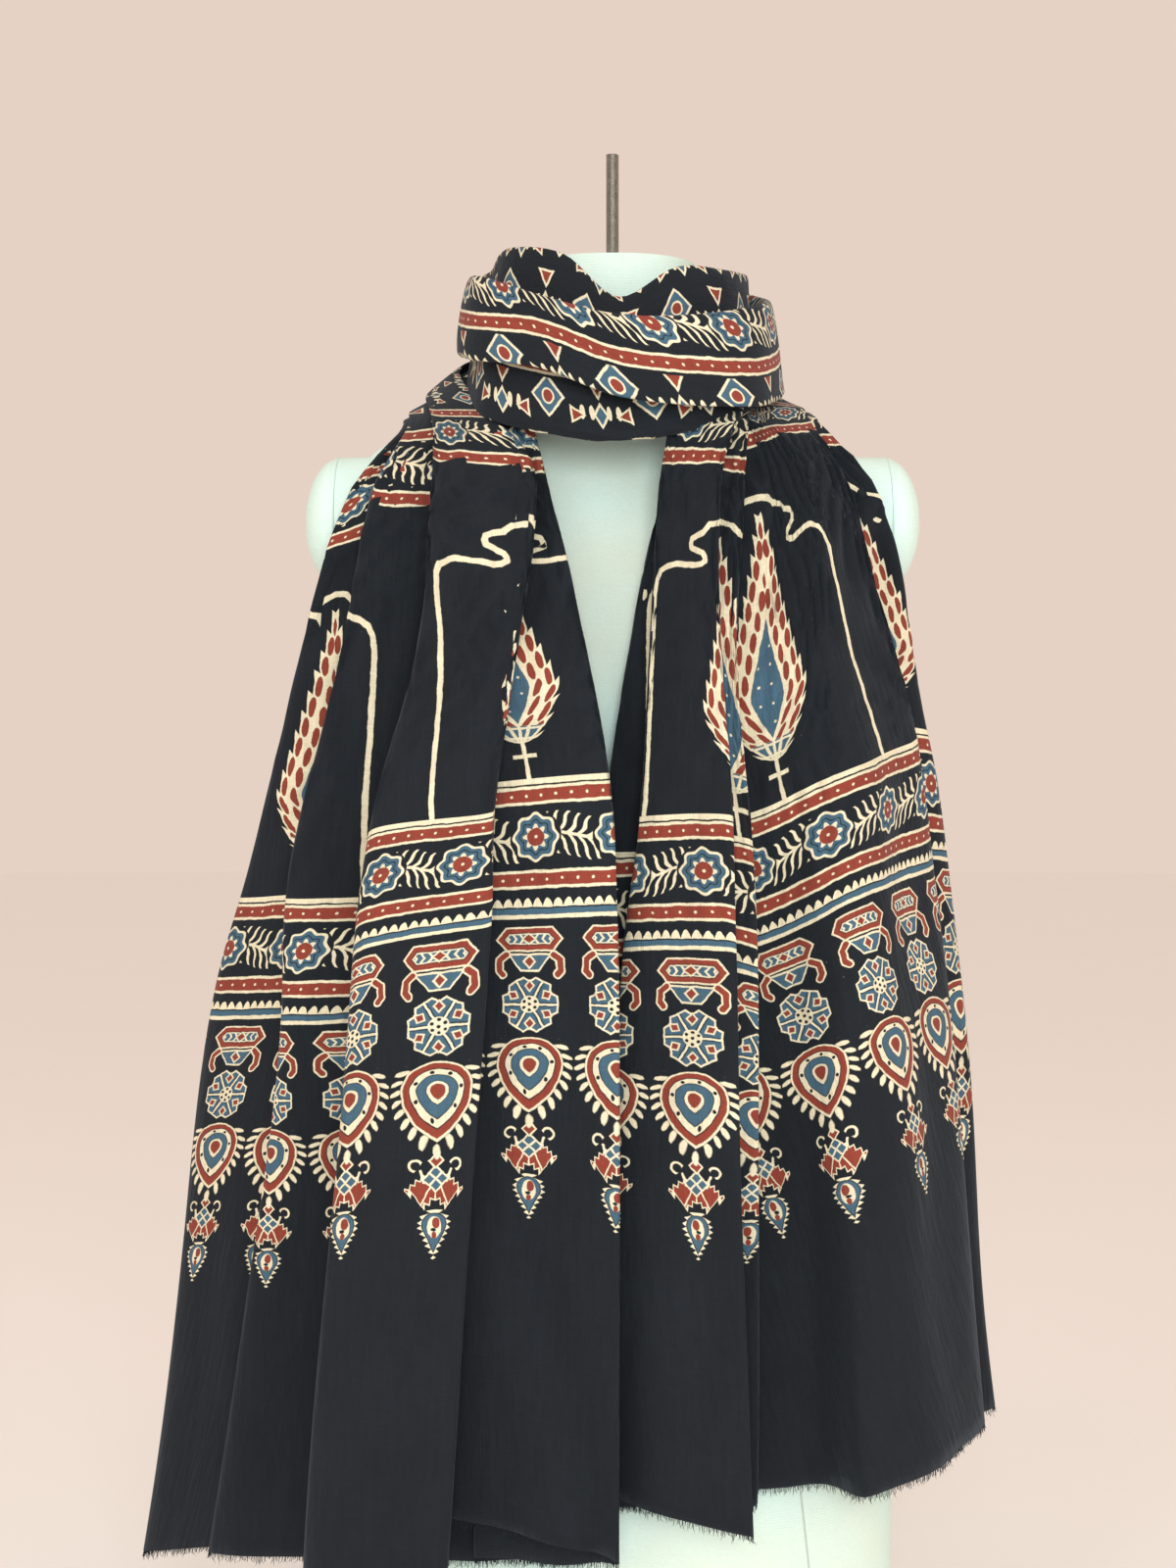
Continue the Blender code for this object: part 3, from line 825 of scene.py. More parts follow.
def paint_cartouche(ground, x, y):
    """The long pointed lozenge at the head of a drop."""
    sides = absolute(x) + absolute(y) * 0.8 - 20.8
    gap = most(absolute(y) - 7.8, sides * 0.78)
    ground.lay_outlined(gap, RED, 1.1)
    ground.lay(BLACK_DYE, gap + 4.0)
    ground.lay(CREAM, gap + 4.5)
    chevrons = tile(absolute(x) - absolute(y) * 0.8 - 1.0, 4.6)
    cell = most(slab(chevrons, -1.5, 1.6), gap + 5.2)
    ground.lay(BLUE, cell)
    ground.lay_outlined(diamond(x, y, 4.6, 3.8), RED, 0.9)


def paint_legs(ground, x, y):
    """The blue bracket with its red hooks below the cartouche."""
    widening = calc("MULTIPLY_ADD", y, 0.75, 9.8)
    bracket = most(absolute(y) - 5.6, absolute(x) - widening)
    ground.lay_outlined(bracket, BLUE, 1.2)
    ground.lay_outlined(diamond(x, y - 0.6, 4.2, 4.8), RED, 1.1)
    point = as_point(absolute(x), y)
    hook = polyline(point, ((14.6, 4.8), (18.4, 1.6), (18.8, -5.0), (16.6, -7.6)))
    ground.lay(CREAM, hook - 2.7)
    ground.lay(RED, hook - 1.7)


def paint_rosette(ground, x, y):
    """A six-petalled flower with a spot in each petal and seven dots at its heart."""
    radius = distance(x, y)
    petal = tile(turn_of(x, y), math.pi / 3)
    side, reach = radius * calc("SINE", petal), radius * calc("COSINE", petal)
    off_middle = absolute(side)
    shoulders = reach + absolute(off_middle - 3.9) * 0.6 - 17.2
    ground.lay_outlined(shoulders, BLUE, 1.3)
    spoke = radius * calc("SINE", math.pi / 6 - absolute(petal)) - 0.7
    ground.lay(CREAM, most(spoke, shoulders))
    ground.lay(BLACK_DYE, most(slab(spoke, 0.1, 0.7), shoulders + 1.3))
    spot = diamond(side, reach - 11.6, 3.4, 4.0)
    ground.lay_outlined(spot, RED, 0.9)
    ground.lay(CREAM, radius - 5.4)
    dots = least(distance(side, reach - 3.7), radius) - 1.0
    ground.lay(BLACK_DYE, dots)


def teardrop(x, y, radius, length):
    """The signed distance to a disc with a tail that ends in a point, length below its centre."""
    tail_sine = radius / length
    tail_cosine = math.sqrt(1 - tail_sine**2)
    side = absolute(x)
    past_tangent = most(side * -tail_sine - y * tail_cosine, 0.0)
    over_side = side * tail_cosine - y * tail_sine
    on_tail = calc("GREATER_THAN", past_tangent, 0.0)
    disc = distance(x, y)
    return disc + (over_side - disc) * on_tail - radius


def paint_teardrop(ground, x, y):
    """The large drop: nested rings of red, cream, blue and red with a fringe of leaves."""
    flat_topped = most(y, y * 1.22)
    rounded = distance(x, most(flat_topped, y * 0.68)) - 19.6
    gap = (teardrop(x, flat_topped, 19.6, 32.4) + rounded) * 0.5
    slant = calc("MULTIPLY_ADD", y, -0.025, 0.35)
    leaf = absolute(tile(y + gap * slant, 5.3)) * 0.8
    middle = (gap - 3.0) * 0.24
    fringe = most(leaf + middle * middle - 1.1, slab(gap, 0.2, 6.4))
    fringe = most(fringe, y - absolute(x) * 0.45 - 7.0)
    ground.lay(CREAM, fringe)
    ground.lay_outlined(gap, RED, 1.2)
    ground.lay(BLACK_DYE, gap + 4.7)
    ground.lay(CREAM, gap + 5.3)
    spots = distance(tile(turn_of(x, y) + 0.3, 0.9) * distance(x, y), gap + 7.0) - 1.15
    ground.lay(BLACK_DYE, spots)
    ground.lay(BLACK_DYE, gap + 8.6)
    ground.lay(BLUE, gap + 9.1)
    ground.lay(BLACK_DYE, gap + 13.6)
    ground.lay(CREAM, gap + 14.0)
    ground.lay(RED, gap + 15.7)


def paint_lotus(ground, x, y):
    """The small flower under a drop: a red crown, a blue lattice and two curled tendrils."""
    side = absolute(x)
    teeth = absolute(tile(side - y * 0.5, 4.0)) * 1.2
    crown = diamond(side - 5.6, y + 5.8, 9.8, 9.6) - teeth + 1.0
    ground.lay_outlined(crown, RED, 1.0)
    petals = absolute(side - 1.4 + y * 0.42) - 0.45
    ground.lay(CREAM, most(petals, crown + 0.8))
    curl = absolute(distance(side - 10.8, y - 8.4) - 3.2) - 0.65
    tail = segment(as_point(side, y), (6.0, -1.0), (8.2, 5.6)) - 0.7
    open_side = most(curl, 8.6 - side - (y - 8.4) * 0.8)
    ground.lay(CREAM, least(open_side, tail))
    lattice = diamond(x, y - 0.5, 7.6, 8.2)
    ground.lay(CREAM, lattice)
    bars = least(absolute(x + y - 0.5), absolute(x - y + 0.5)) * 0.7
    ground.lay(BLUE, most(lattice + 1.0, 0.6 - bars))
    ground.lay_outlined(diamond(x, y - 11.0, 4.4, 4.8), RED, 0.9)


def paint_tiny_drop(ground, x, y):
    """The serrated drop that ends a column."""
    gap = teardrop(x, y - 5.4, 8.0, 19.0)
    serrated = gap - 1.3 + absolute(tile(y, 3.4)) * 1.5
    ground.lay(CREAM, serrated)
    ground.lay(BLACK_DYE, gap + 1.0)
    ground.lay(BLUE, gap + 1.6)
    ground.lay(CREAM, distance(x * 1.3, (y - 4.0) * 0.8) - 5.0)
    ground.lay(RED, distance((x - 0.8) * 1.5, y - 6.4) - 3.2)
    ground.lay(RED, distance(x * 1.4, y + 0.6) - 2.0)
    ground.lay(BLACK_DYE, distance(x + 0.4, (y - 2.4) * 1.5) - 1.5)


# The motifs of a hanging drop, each with the height of its centre above the foot of the drops.
DROP_MOTIFS = (
    (paint_tiny_drop, 23.0), (paint_lotus, 54.0), (paint_teardrop, 105.8), (paint_rosette, 142.0),
    (paint_legs, 168.0), (paint_cartouche, 182.5),
)


def paint_drops(ground, across, along):
    x = tile(across, DROP_PITCH)
    for paint_motif, height in DROP_MOTIFS:
        paint_motif(ground, x, along - height)


def paint_lower_border(ground, flower_x, along):
    """From its foot: a blue line, scallops, and a flower vine between two dotted bands."""
    y = along - BORDER_FOOT
    ground.lay(CREAM, slab(y, 0.2, 2.8))
    ground.lay(BLUE, slab(y, 2.8, 6.2))
    off_middle = absolute(tile(flower_x, 6.2))
    scallop = y - 12.2 + off_middle * off_middle * 0.5
    ground.lay(CREAM, most(scallop, 7.1 - y))
    paint_dotted_band(ground, flower_x, y - 17.8)
    paint_vine(ground, flower_x, y - 47.8)
    paint_dotted_band(ground, flower_x + 3.0, y - 66.8)
    ground.lay(CREAM, slab(y, 78.7, 82.5))


# Half of an arch, in mm from its middle line and its foot, from the foot of its pillar to its top.
ARCH_KNOTS = (
    (72.0, -6.0), (71.5, 60.0), (71.0, 128.0), (66.5, 141.0), (52.0, 144.5), (36.0, 142.5),
    (28.0, 144.5), (30.0, 149.5), (39.5, 153.5), (39.0, 159.0), (30.0, 161.5), (25.0, 166.5),
    (13.0, 169.0), (8.5, 173.5), (0.0, 175.5),
)
ARCH_OUTLINE = [tuple(map(float, place)) for place in smooth_spline(ARCH_KNOTS, [1, 1] + [2] * 12)]
ARCH_LINE_WIDTH = 3.5
TREE_TOP = 168.0
TREE_FOOT = 23.0
CUP_TOP = 34.0
SCALE_WIDTH = 8.2
SCALE_HEIGHT = 11.4


def paint_tree(ground, x, y):
    """A cypress of two rows of red scales each side of a dotted blue heart, on a cream trunk."""
    side = absolute(x)
    trunk = least(box(x, y - 12.0, 1.2, 12.0), box(x, y - 14.5, 7.2, 1.3))
    ground.lay(CREAM, trunk)
    rise = calc("SQRT", most(y - TREE_FOOT, 0.0) * 24.0)
    taper = (TREE_TOP - y) * 0.27
    spread = calc("SMOOTH_MIN", rise, taper, 4.0)
    depth = spread - side
    climb = y + depth * 0.85
    row = tile(climb, SCALE_HEIGHT)
    jagged = calc("MULTIPLY_ADD", row, 0.33, depth)
    edge = most(0.0 - jagged, TREE_FOOT - y)
    ground.lay(CREAM, edge)
    column = tile(depth - SCALE_WIDTH / 2, SCALE_WIDTH)
    scale = distance(column * 1.9, calc("MULTIPLY_ADD", column, 0.4, row)) - 4.9
    low_on_tree = CUP_TOP - y
    scales = most(most(scale, slab(depth, 0.9, 2 * SCALE_WIDTH)), low_on_tree)
    ground.lay(RED, scales)
    heart = most(2 * SCALE_WIDTH + 0.9 - depth, low_on_tree)
    ground.lay(BLUE, heart)
    specks = distance(tile(x + 2.8, 9.0), tile(y, 11.0)) - 0.8
    ground.lay(CREAM, most(specks, heart + 1.0))
    above_cup = y - TREE_FOOT + 3.0
    fan = tile(turn_of(x, above_cup), 0.42)
    cell = most(1.0 - absolute(fan) * distance(x, above_cup), y - CUP_TOP)
    cell = most(cell, 2.0 - absolute(tile(y, 6.5)) * 3.0)
    ground.lay(BLUE, most(cell, 1.8 - depth))


def paint_arches(ground, across, along):
    x = tile(across, ARCH_PITCH)
    y = along - ARCH_FOOT
    paint_tree(ground, x, y)
    line = polyline(as_point(absolute(x), y), ARCH_OUTLINE)
    ground.lay(CREAM, line - ARCH_LINE_WIDTH / 2)


def paint_upper_border(ground, across, along):
    y = along - UPPER_BORDER_FOOT
    paint_dotted_band(ground, across, y)
    paint_vine(ground, across - FLOWER_PHASE, y - 29.8)
    paint_dotted_band(ground, across + 3.0, y - 48.8)


FIELD_ROW = 37.0
FIELD_PITCH = 74.0


def paint_field(ground, across, along):
    """Lengthwise borders, and rows of diamonds, triangles and paired leaves on both sides of them."""
    from_edge = HALF_WIDTH - absolute(across - HALF_WIDTH)
    row = from_edge - 20.0
    y = tile(row, FIELD_ROW)
    shift = calc("ROUND", row / FIELD_ROW) * (FIELD_PITCH * 0.34)
    x = tile(along + shift, FIELD_PITCH)
    side = absolute(x)
    leaves = distance((absolute(side - 27.5) - 3.4) * 2.6, y + 7.5) - 4.6
    ground.lay(CREAM, leaves)
    triangle = most((side - 16.8) * -1.0 - 1.0, (side - 16.8) * 0.62 + absolute(y + 9.5) * 1.1 - 6.0)
    ground.lay_outlined(triangle, RED, 1.5)
    apex_down = most(y - 13.5, (absolute(side - 37.0) - (y - 1.0) * 0.62) * 0.85)
    ground.lay_outlined(apex_down, RED, 1.5)
    ground.lay_outlined(diamond(side - 37.0, y + 9.0, 5.6, 8.6), BLUE, 1.5)
    ground.lay_outlined(diamond(x, y, 13.2, 13.6), BLUE, 1.6)
    ground.lay_outlined(distance(x, y) - 4.9, RED, 1.2)
    strip = from_edge - 70.0
    ground.lay(BLACK_DYE, slab(strip, -2.0, 62.0))
    paint_dotted_band(ground, along, strip)
    with_vine = Ground(ground.colour)
    paint_vine(with_vine, along, strip - 29.8)
    ground.lay(with_vine.colour, slab(strip, 11.0, 48.6))
    paint_dotted_band(ground, along + 3.0, strip - 48.8)


# The printed zones in the order of their numbers: name, painter and where its repeats begin.
PRINTED_ZONES = (
    ("left drops", paint_drops, DROP_PHASE),
    ("left border", paint_lower_border, FLOWER_PHASE),
    ("right drops", paint_drops, RIGHT_DROP_PHASE),
    ("right border", paint_lower_border, RIGHT_FLOWER_PHASE),
    ("arches", paint_arches, ARCH_PITCH / 2),
    ("upper border", paint_upper_border, 0.0),
    ("field", paint_field, 0.0),
)


# ---------------------------------------------------------------- materials

# How fine each texture of the cloth is, across it and along it, per mm.
WARP_SCALE = (1.5, 0.06, 1.0)
WEFT_SCALE = (0.06, 1.5, 1.0)
SLUB_SCALE = (0.30, 0.025, 1.0)
CREASE_SCALE = (0.035, 0.009, 1.0)
CRINKLE_SCALE = (0.22, 0.035, 1.0)
LINT_SCALE = 0.045
LINT_RADIUS = 0.30
LINT_RARITY = 0.62
LINT_COVER = 0.75
WEAVE_CONTRAST = 0.40
SLUB_CONTRAST = 0.34
DYE_CONTRAST = 0.40
DARKEST_THREAD = 0.23
WEAVE_RELIEF = 0.10
CRINKLE_RELIEF = 0.35
PRINT_WOBBLE = (2.2, 2.2, 0.0)
# The canvas, in metres, with the scale of its fibres per metre.
FIBRE_SCALE = (500.0, 500.0, 1400.0)
WAIST_HEIGHT = 0.40
SEAM_X_AT_WAIST = 0.086
SEAM_SLOPE = 0.11
SEAM_WIDTH = 0.0012
SEAM_COVER = 0.7
RIB_PITCH = 0.0017
RIB_RELIEF = 0.12
FIBRE_RELIEF = 0.5
# Each of these is a factor for the noise and a number added to it.
YELLOWING = (1.9, -0.75)
FIBRE_SHADE = (0.16, 0.92)
STEEL_ROUGHNESS = (0.3, 0.25)
FLOOR_SHADE = (0.02, 0.98)


def new_material(name):
    material = bpy.data.materials.new(name)
    material.use_nodes = True
    Value.tree = material.node_tree
    return material, material.node_tree.nodes["Principled BSDF"]


def texture(kind, vector, **settings):
    node = add_node(kind)
    link(vector, node.inputs["Vector"])
    for name, value in settings.items():
        node.inputs[name.title()].default_value = value
    return node


def noise(vector, **settings):
    return Value(texture("ShaderNodeTexNoise", vector, **settings).outputs[0])


def stretched_noise(vector, scale, **settings):
    """Noise with its own scale along each axis of the vector."""
    return noise(vector_calc("MULTIPLY", vector, scale).outputs[0], scale=1.0, **settings)


def bumped(shader, height, strength, depth):
    bump = add_node("ShaderNodeBump")
    bump.inputs["Strength"].default_value = strength
    bump.inputs["Distance"].default_value = depth
    link(height.socket, bump.inputs["Height"])
    link(bump.outputs["Normal"], shader.inputs["Normal"])


def scaled_colour(colour, amount):
    """The colour made lighter or darker by a number about 1."""
    return vector_calc("SCALE", colour, scale=amount).outputs[0]


def object_place():
    return add_node("ShaderNodeTexCoord").outputs["Object"]


def print_place():
    """The place on the flat cloth in mm, with the small unevenness of hand-printed blocks."""
    uv = add_node("ShaderNodeUVMap")
    uv.uv_map = "print"
    wobble = texture("ShaderNodeTexNoise", uv.outputs[0], scale=0.11, detail=3.0, roughness=0.6)
    centred = vector_calc("SUBTRACT", wobble.outputs["Color"], (0.5, 0.5, 0.5)).outputs[0]
    moved = vector_calc("MULTIPLY_ADD", centred, PRINT_WOBBLE)
    link(uv.outputs[0], moved.inputs[2])
    parts = add_node("ShaderNodeSeparateXYZ")
    link(moved.outputs[0], parts.inputs[0])
    return uv.outputs[0], Value(parts.outputs[0]), Value(parts.outputs[1])


def cotton_material(zone, painter=None, phase=0.0):
    """Black cotton with one zone of the print: uneven dyes, thread slubs, creases and lint."""
    material, shader = new_material("cotton " + zone)
    flat, across, along = print_place()
    black = add_node("ShaderNodeRGB")
    black.outputs[0].default_value = (*BLACK_DYE, 1.0)
    ground = Ground(black.outputs[0])
    if painter:
        painter(ground, across - phase, along)
    warp = stretched_noise(flat, WARP_SCALE)
    weft = stretched_noise(flat, WEFT_SCALE)
    dye = noise(flat, scale=0.022, detail=4.0, roughness=0.62)
    slubs = stretched_noise(flat, SLUB_SCALE)
    weave = warp + weft
    threads = weave * WEAVE_CONTRAST + slubs * SLUB_CONTRAST + DARKEST_THREAD
    amount = calc("MULTIPLY_ADD", dye, DYE_CONTRAST, threads)
    colour = scaled_colour(ground.colour, amount)
    lint = texture("ShaderNodeTexVoronoi", flat, scale=LINT_SCALE, randomness=1.0)
    from_lint = Value(lint.outputs["Distance"]) * (1 / LINT_SCALE)
    rare = calc("GREATER_THAN", Value(lint.outputs["Color"]), LINT_RARITY)
    colour = paint(colour, LINT, inside(from_lint - LINT_RADIUS) * rare * LINT_COVER)
    link(colour, shader.inputs["Base Color"])
    shader.inputs["Roughness"].default_value = 0.86
    shader.inputs["Specular IOR Level"].default_value = 0.22
    shader.inputs["Sheen Weight"].default_value = 0.10
    shader.inputs["Sheen Roughness"].default_value = 0.45
    shader.inputs["Sheen Tint"].default_value = (0.70, 0.82, 1.0, 1.0)
    creases = stretched_noise(flat, CREASE_SCALE, detail=3.0)
    crinkle = stretched_noise(flat, CRINKLE_SCALE, detail=3.0)
    height = weave * WEAVE_RELIEF + creases + crinkle * CRINKLE_RELIEF
    bumped(shader, height, strength=0.75, depth=0.004)
    return material


def canvas_material():
    """Pale canvas: fine cross ribs, sewn seams down the front and back, and faint yellowing."""
    material, shader = new_material("pale canvas")
    place = object_place()
    parts = add_node("ShaderNodeSeparateXYZ")
    link(place, parts.inputs[0])
    x, z = Value(parts.outputs[0]), Value(parts.outputs[2])
    age = noise(place, scale=5.0, detail=3.0, roughness=0.6)
    fibre = stretched_noise(place, FIBRE_SCALE)
    base = paint(CANVAS, YELLOWED, calc("MULTIPLY_ADD", age, *YELLOWING, clamp=True))
    seam_x = calc("MULTIPLY_ADD", absolute(z - WAIST_HEIGHT), SEAM_SLOPE, SEAM_X_AT_WAIST)
    seam = inside((absolute(absolute(x) - seam_x) - SEAM_WIDTH / 2) * (1 / MM))
    base = paint(base, SEAM_SHADE, seam * SEAM_COVER)
    colour = scaled_colour(base, calc("MULTIPLY_ADD", fibre, *FIBRE_SHADE))
    link(colour, shader.inputs["Base Color"])
    shader.inputs["Roughness"].default_value = 0.8
    shader.inputs["Specular IOR Level"].default_value = 0.25
    ribs = calc("SINE", z * (2 * math.pi / RIB_PITCH))
    height = ribs * RIB_RELIEF + fibre * FIBRE_RELIEF - seam
    bumped(shader, height, strength=0.35, depth=0.0008)
    return material


def steel_material():
    material, shader = new_material("threaded steel")
    place = object_place()
    wear = noise(place, scale=220.0, detail=4.0)
    colour = paint(WORN_STEEL, BRIGHT_STEEL, wear)
    link(colour, shader.inputs["Base Color"])
    link(calc("MULTIPLY_ADD", wear, *STEEL_ROUGHNESS).socket, shader.inputs["Roughness"])
    shader.inputs["Metallic"].default_value = 1.0
    return material


def floor_material():
    material, shader = new_material("pale floor")
    place = object_place()
    grain = noise(place, scale=3.0, detail=2.0)
    colour = scaled_colour(FLOOR, calc("MULTIPLY_ADD", grain, *FLOOR_SHADE))
    link(colour, shader.inputs["Base Color"])
    shader.inputs["Roughness"].default_value = 0.9
    return material


# ---------------------------------------------------------------- the dress form

FORM_HEIGHT = 0.9065
FORM_SQUARENESS = 2.3
FORM_SEGMENTS = 144
FORM_STEPS = 6
FORM_INSET = 0.0012
FORM_SHARP_ANGLE = 50
SMALL_PART_SHARP_ANGLE = 60
ARM_X = 0.177
ARM_Z = 0.7405
ARM_HALF_HEIGHT = 0.043
ARM_HALF_DEPTH = 0.050
ARM_CAP_DEPTH = 0.0225
ARM_STUB_START = 0.120
FIT_GAP = 0.0003
STUD_RADIUS = 0.0043
STUD_LENGTH = 0.075
THREAD_PITCH = 0.00125
THREAD_DEPTH = 0.0005
STUD_SIDES = 24
RINGS_PER_TURN = 6

DOME_DEGREES = range(12, 88, 5)
DOME_START_SCALE = 0.985
# The rim of an arm cap: the depth outwards from the seam, and the size as a share of the cap's.
PIPED_RIM = ((0.0, 0.965), (0.0, 0.992), (0.0008, 1.0), (0.0022, 0.996), (0.0028, 0.978))
# The form's cross-sections: height, half-width, depth in front of the axis, depth behind it.
FORM_SECTIONS = (
    (0.000, 0.174, 0.106, 0.112),
    (0.012, 0.179, 0.110, 0.117),
    (0.120, 0.182, 0.108, 0.122),
    (0.210, 0.168, 0.099, 0.112),
    (0.300, 0.142, 0.087, 0.096),
    (0.380, 0.126, 0.078, 0.086),
    (0.460, 0.133, 0.084, 0.088),
    (0.550, 0.146, 0.094, 0.094),
    (0.620, 0.154, 0.096, 0.098),
    (0.690, 0.163, 0.081, 0.098),
    (0.745, 0.169, 0.068, 0.090),
    (0.775, 0.166, 0.060, 0.080),
    (0.794, 0.145, 0.056, 0.073),
    (0.806, 0.111, 0.049, 0.067),
    (0.822, 0.080, 0.051, 0.062),
    (0.846, 0.060, 0.052, 0.059),
    (0.875, 0.056, 0.052, 0.055),
    (FORM_HEIGHT, 0.056, 0.053, 0.055),
)


def superellipse_ring(bm, height, half_width, front, back):
    """A level section of the form, squarer than an ellipse and deeper behind than in front."""
    ring = []
    for step in range(FORM_SEGMENTS):
        angle = 2 * math.pi * step / FORM_SEGMENTS
        cos, sin = math.cos(angle), math.sin(angle)
        depth = back if sin > 0 else front
        x = half_width * math.copysign(abs(cos) ** (2 / FORM_SQUARENESS), cos)
        y = depth * math.copysign(abs(sin) ** (2 / FORM_SQUARENESS), sin)
        ring.append(bm.verts.new((x, y, height)))
    return ring


def oval_ring(bm, x, scale):
    ring = []
    for step in range(FORM_SEGMENTS // 2):
        angle = 4 * math.pi * step / FORM_SEGMENTS
        y = scale * ARM_HALF_DEPTH * math.cos(angle)
        z = ARM_Z + scale * ARM_HALF_HEIGHT * math.sin(angle)
        ring.append(bm.verts.new((x, y, z)))
    return ring


def make_arm_stub(side):
    bm = bmesh.new()
    rings = [oval_ring(bm, side * x, 1.0) for x in (ARM_STUB_START, ARM_X)]
    join_rings(bm, rings)
    bm.faces.new(rings[0])
    bm.faces.new(rings[-1])
    return finished_mesh(bm, "arm_stub", FORM_SHARP_ANGLE)


def make_form(material):
    """The torso and neck, lofted smoothly through its sections, with the two arm stubs."""
    bm = bmesh.new()
    base, *body = FORM_SECTIONS
    sections = smooth_spline(body, [FORM_STEPS] * (len(body) - 1))
    inset = np.array((0.0, FORM_INSET, FORM_INSET, FORM_INSET))
    rings = [superellipse_ring(bm, *(row - inset)) for row in (np.array(base), *sections)]
    join_rings(bm, rings)
    bm.faces.new(rings[0][::-1])
    bm.faces.new(rings[-1])
    name = "canvas_torso"
    form = add_object(name, finished_mesh(bm, name, FORM_SHARP_ANGLE), [material])
    for side in (-1, 1):
        stub = add_object("arm_stub", make_arm_stub(side), [material])
        union = form.modifiers.new("arm stub", "BOOLEAN")
        union.operation = "UNION"
        union.object = stub
        bpy.context.view_layer.objects.active = form
        bpy.ops.object.modifier_apply(modifier=union.name)
        bpy.data.objects.remove(stub)
    form.data.shade_smooth()
    form.data.set_sharp_from_angle(angle=math.radians(FORM_SHARP_ANGLE))
    return form


def make_arm_cap(side, material):
    """A stuffed dome with a piped seam round its rim."""
    bm = bmesh.new()
    start = ARM_X + FIT_GAP
    profile = [*PIPED_RIM]
    for angle in np.radians(DOME_DEGREES):
        profile.append((ARM_CAP_DEPTH * math.sin(angle), DOME_START_SCALE * math.cos(angle)))
    rings = [oval_ring(bm, side * (start + x), scale) for x, scale in profile]
    join_rings(bm, rings)
    bm.faces.new(rings[0])
    close_to_point(bm, rings[-1], (side * (start + ARM_CAP_DEPTH), 0.0, ARM_Z))
    name = "canvas_arm_cap_left" if side < 0 else "canvas_arm_cap_right"
    return add_object(name, finished_mesh(bm, name, SMALL_PART_SHARP_ANGLE), [material])


def make_stud(material):
    """The threaded rod that stands out of the neck."""
    bm = bmesh.new()
    count = int(STUD_LENGTH / THREAD_PITCH * RINGS_PER_TURN)
    rings = []
    for level in range(count + 1):
        height = FORM_HEIGHT + FIT_GAP + STUD_LENGTH * level / count
        ring = []
        for step in range(STUD_SIDES):
            phase = (level / RINGS_PER_TURN - step / STUD_SIDES) % 1.0
            radius = STUD_RADIUS - THREAD_DEPTH * abs(2 * phase - 1)
            angle = 2 * math.pi * step / STUD_SIDES
            ring.append(bm.verts.new((radius * math.cos(angle), radius * math.sin(angle), height)))
        rings.append(ring)
    join_rings(bm, rings)
    bm.faces.new(rings[0][::-1])
    bm.faces.new(rings[-1])
    name = "threaded_stud"
    return add_object(name, finished_mesh(bm, name, SMALL_PART_SHARP_ANGLE), [material])


# ---------------------------------------------------------------- camera, light and floor

CAMERA_PLACE = (-0.016, -1.55, 0.5705)
CAMERA_FOCAL_PIXELS = 2418
FRAME_HEIGHT_PIXELS = 1600
SENSOR_HEIGHT = 36.0
LIGHT_TARGET = (0.0, 0.0, 0.5)
# Square area lights: name, place, size, power and colour.
LIGHTS = (
    ("front", (0.15, -2.9, 1.0), 1.0, 39.0, (0.90, 0.98, 1.0)),
    ("left", (-1.5, -2.1, 1.9), 1.5, 14.5, (0.93, 0.98, 1.0)),
    ("right", (1.9, -1.9, 1.2), 1.8, 11.0, (0.93, 0.98, 1.0)),
)
FLOOR_RADIUS = 14.0


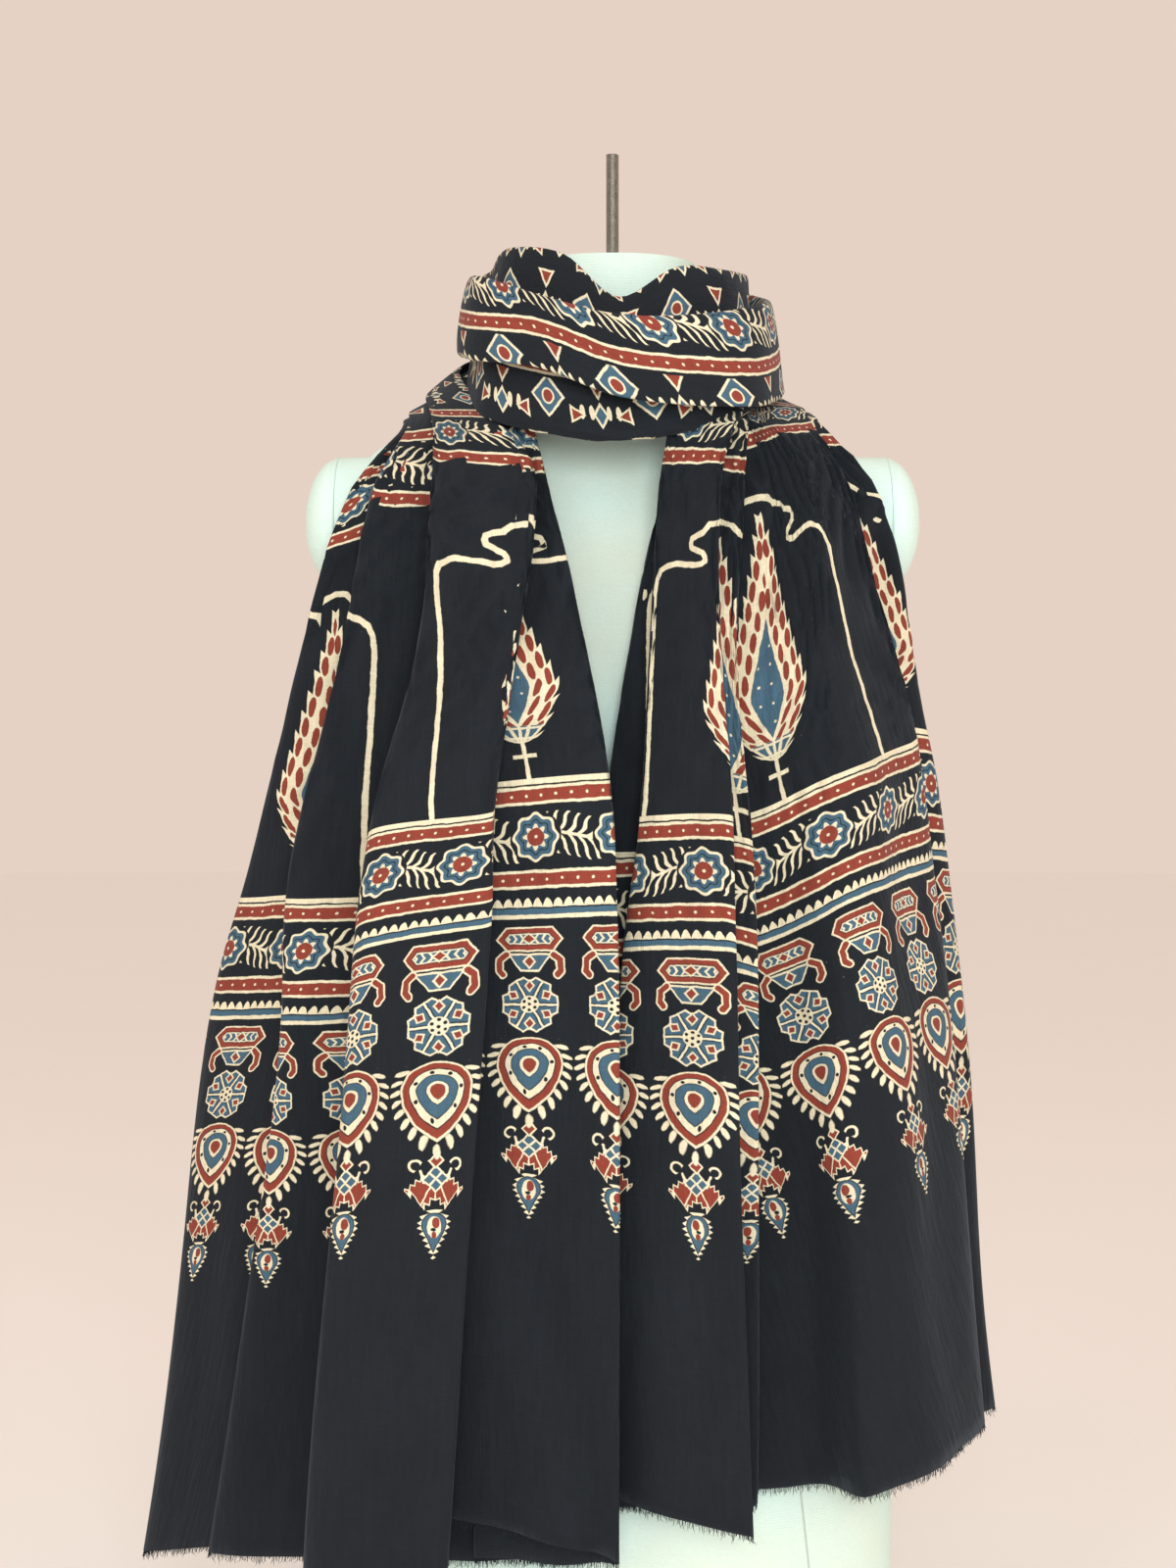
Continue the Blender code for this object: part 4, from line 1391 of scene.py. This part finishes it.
def add_camera():
    data = bpy.data.cameras.new("camera")
    data.sensor_fit = "VERTICAL"
    data.sensor_height = SENSOR_HEIGHT
    data.lens = SENSOR_HEIGHT * CAMERA_FOCAL_PIXELS / FRAME_HEIGHT_PIXELS
    camera = bpy.data.objects.new("camera", data)
    camera.location = CAMERA_PLACE
    camera.rotation_euler = (math.pi / 2, 0.0, 0.0)
    bpy.context.scene.collection.objects.link(camera)
    bpy.context.scene.camera = camera


def add_area_light(name, place, size, power, colour):
    data = bpy.data.lights.new(name, "AREA")
    data.shape = "SQUARE"
    data.size = size
    data.energy = power
    data.color = colour
    light = bpy.data.objects.new(name, data)
    light.location = place
    light.rotation_euler = (Vector(LIGHT_TARGET) - Vector(place)).to_track_quat("-Z", "Y").to_euler()
    bpy.context.scene.collection.objects.link(light)


def add_light():
    world = bpy.data.worlds.new("pale room")
    bpy.context.scene.world = world
    world.use_nodes = True
    background = world.node_tree.nodes["Background"]
    background.inputs["Color"].default_value = (*BACKGROUND, 1.0)
    background.inputs["Strength"].default_value = 1.0
    for row in LIGHTS:
        add_area_light(*row)


def add_floor():
    bpy.ops.mesh.primitive_circle_add(vertices=96, radius=FLOOR_RADIUS, fill_type="NGON")
    floor = bpy.context.object
    floor.name = "floor"
    floor.data.materials.append(floor_material())


# ---------------------------------------------------------------- the scene


def main():
    bpy.context.scene.view_settings.view_transform = "Standard"
    add_camera()
    add_light()
    add_floor()

    plain = cotton_material("margin")
    printed = [cotton_material(*zone) for zone in PRINTED_ZONES]
    cloth, grid = make_cloth([plain, *printed])
    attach(cloth, "root")
    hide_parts("ajrakh_cloth")
    threads = [
        make_raw_threads("raw_threads_left", grid[0], grid[1], THREAD_SEEDS[0], plain),
        make_raw_threads("raw_threads_right", grid[-1], grid[-2], THREAD_SEEDS[1], plain),
    ]
    for piece in threads:
        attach(piece, "root")

    canvas = canvas_material()
    torso = make_form(canvas)
    caps = [make_arm_cap(side, canvas) for side in (-1, 1)]
    stud = make_stud(steel_material())
    replaced = ("dress_form", "arm_cap_left", "arm_cap_right", "neck_stud")
    slots = ("form_canvas", "form_canvas", "form_canvas", "stud_steel")
    for piece, node, slot in zip((torso, *caps, stud), replaced, slots):
        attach(piece, "root")
        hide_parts(node)


main()
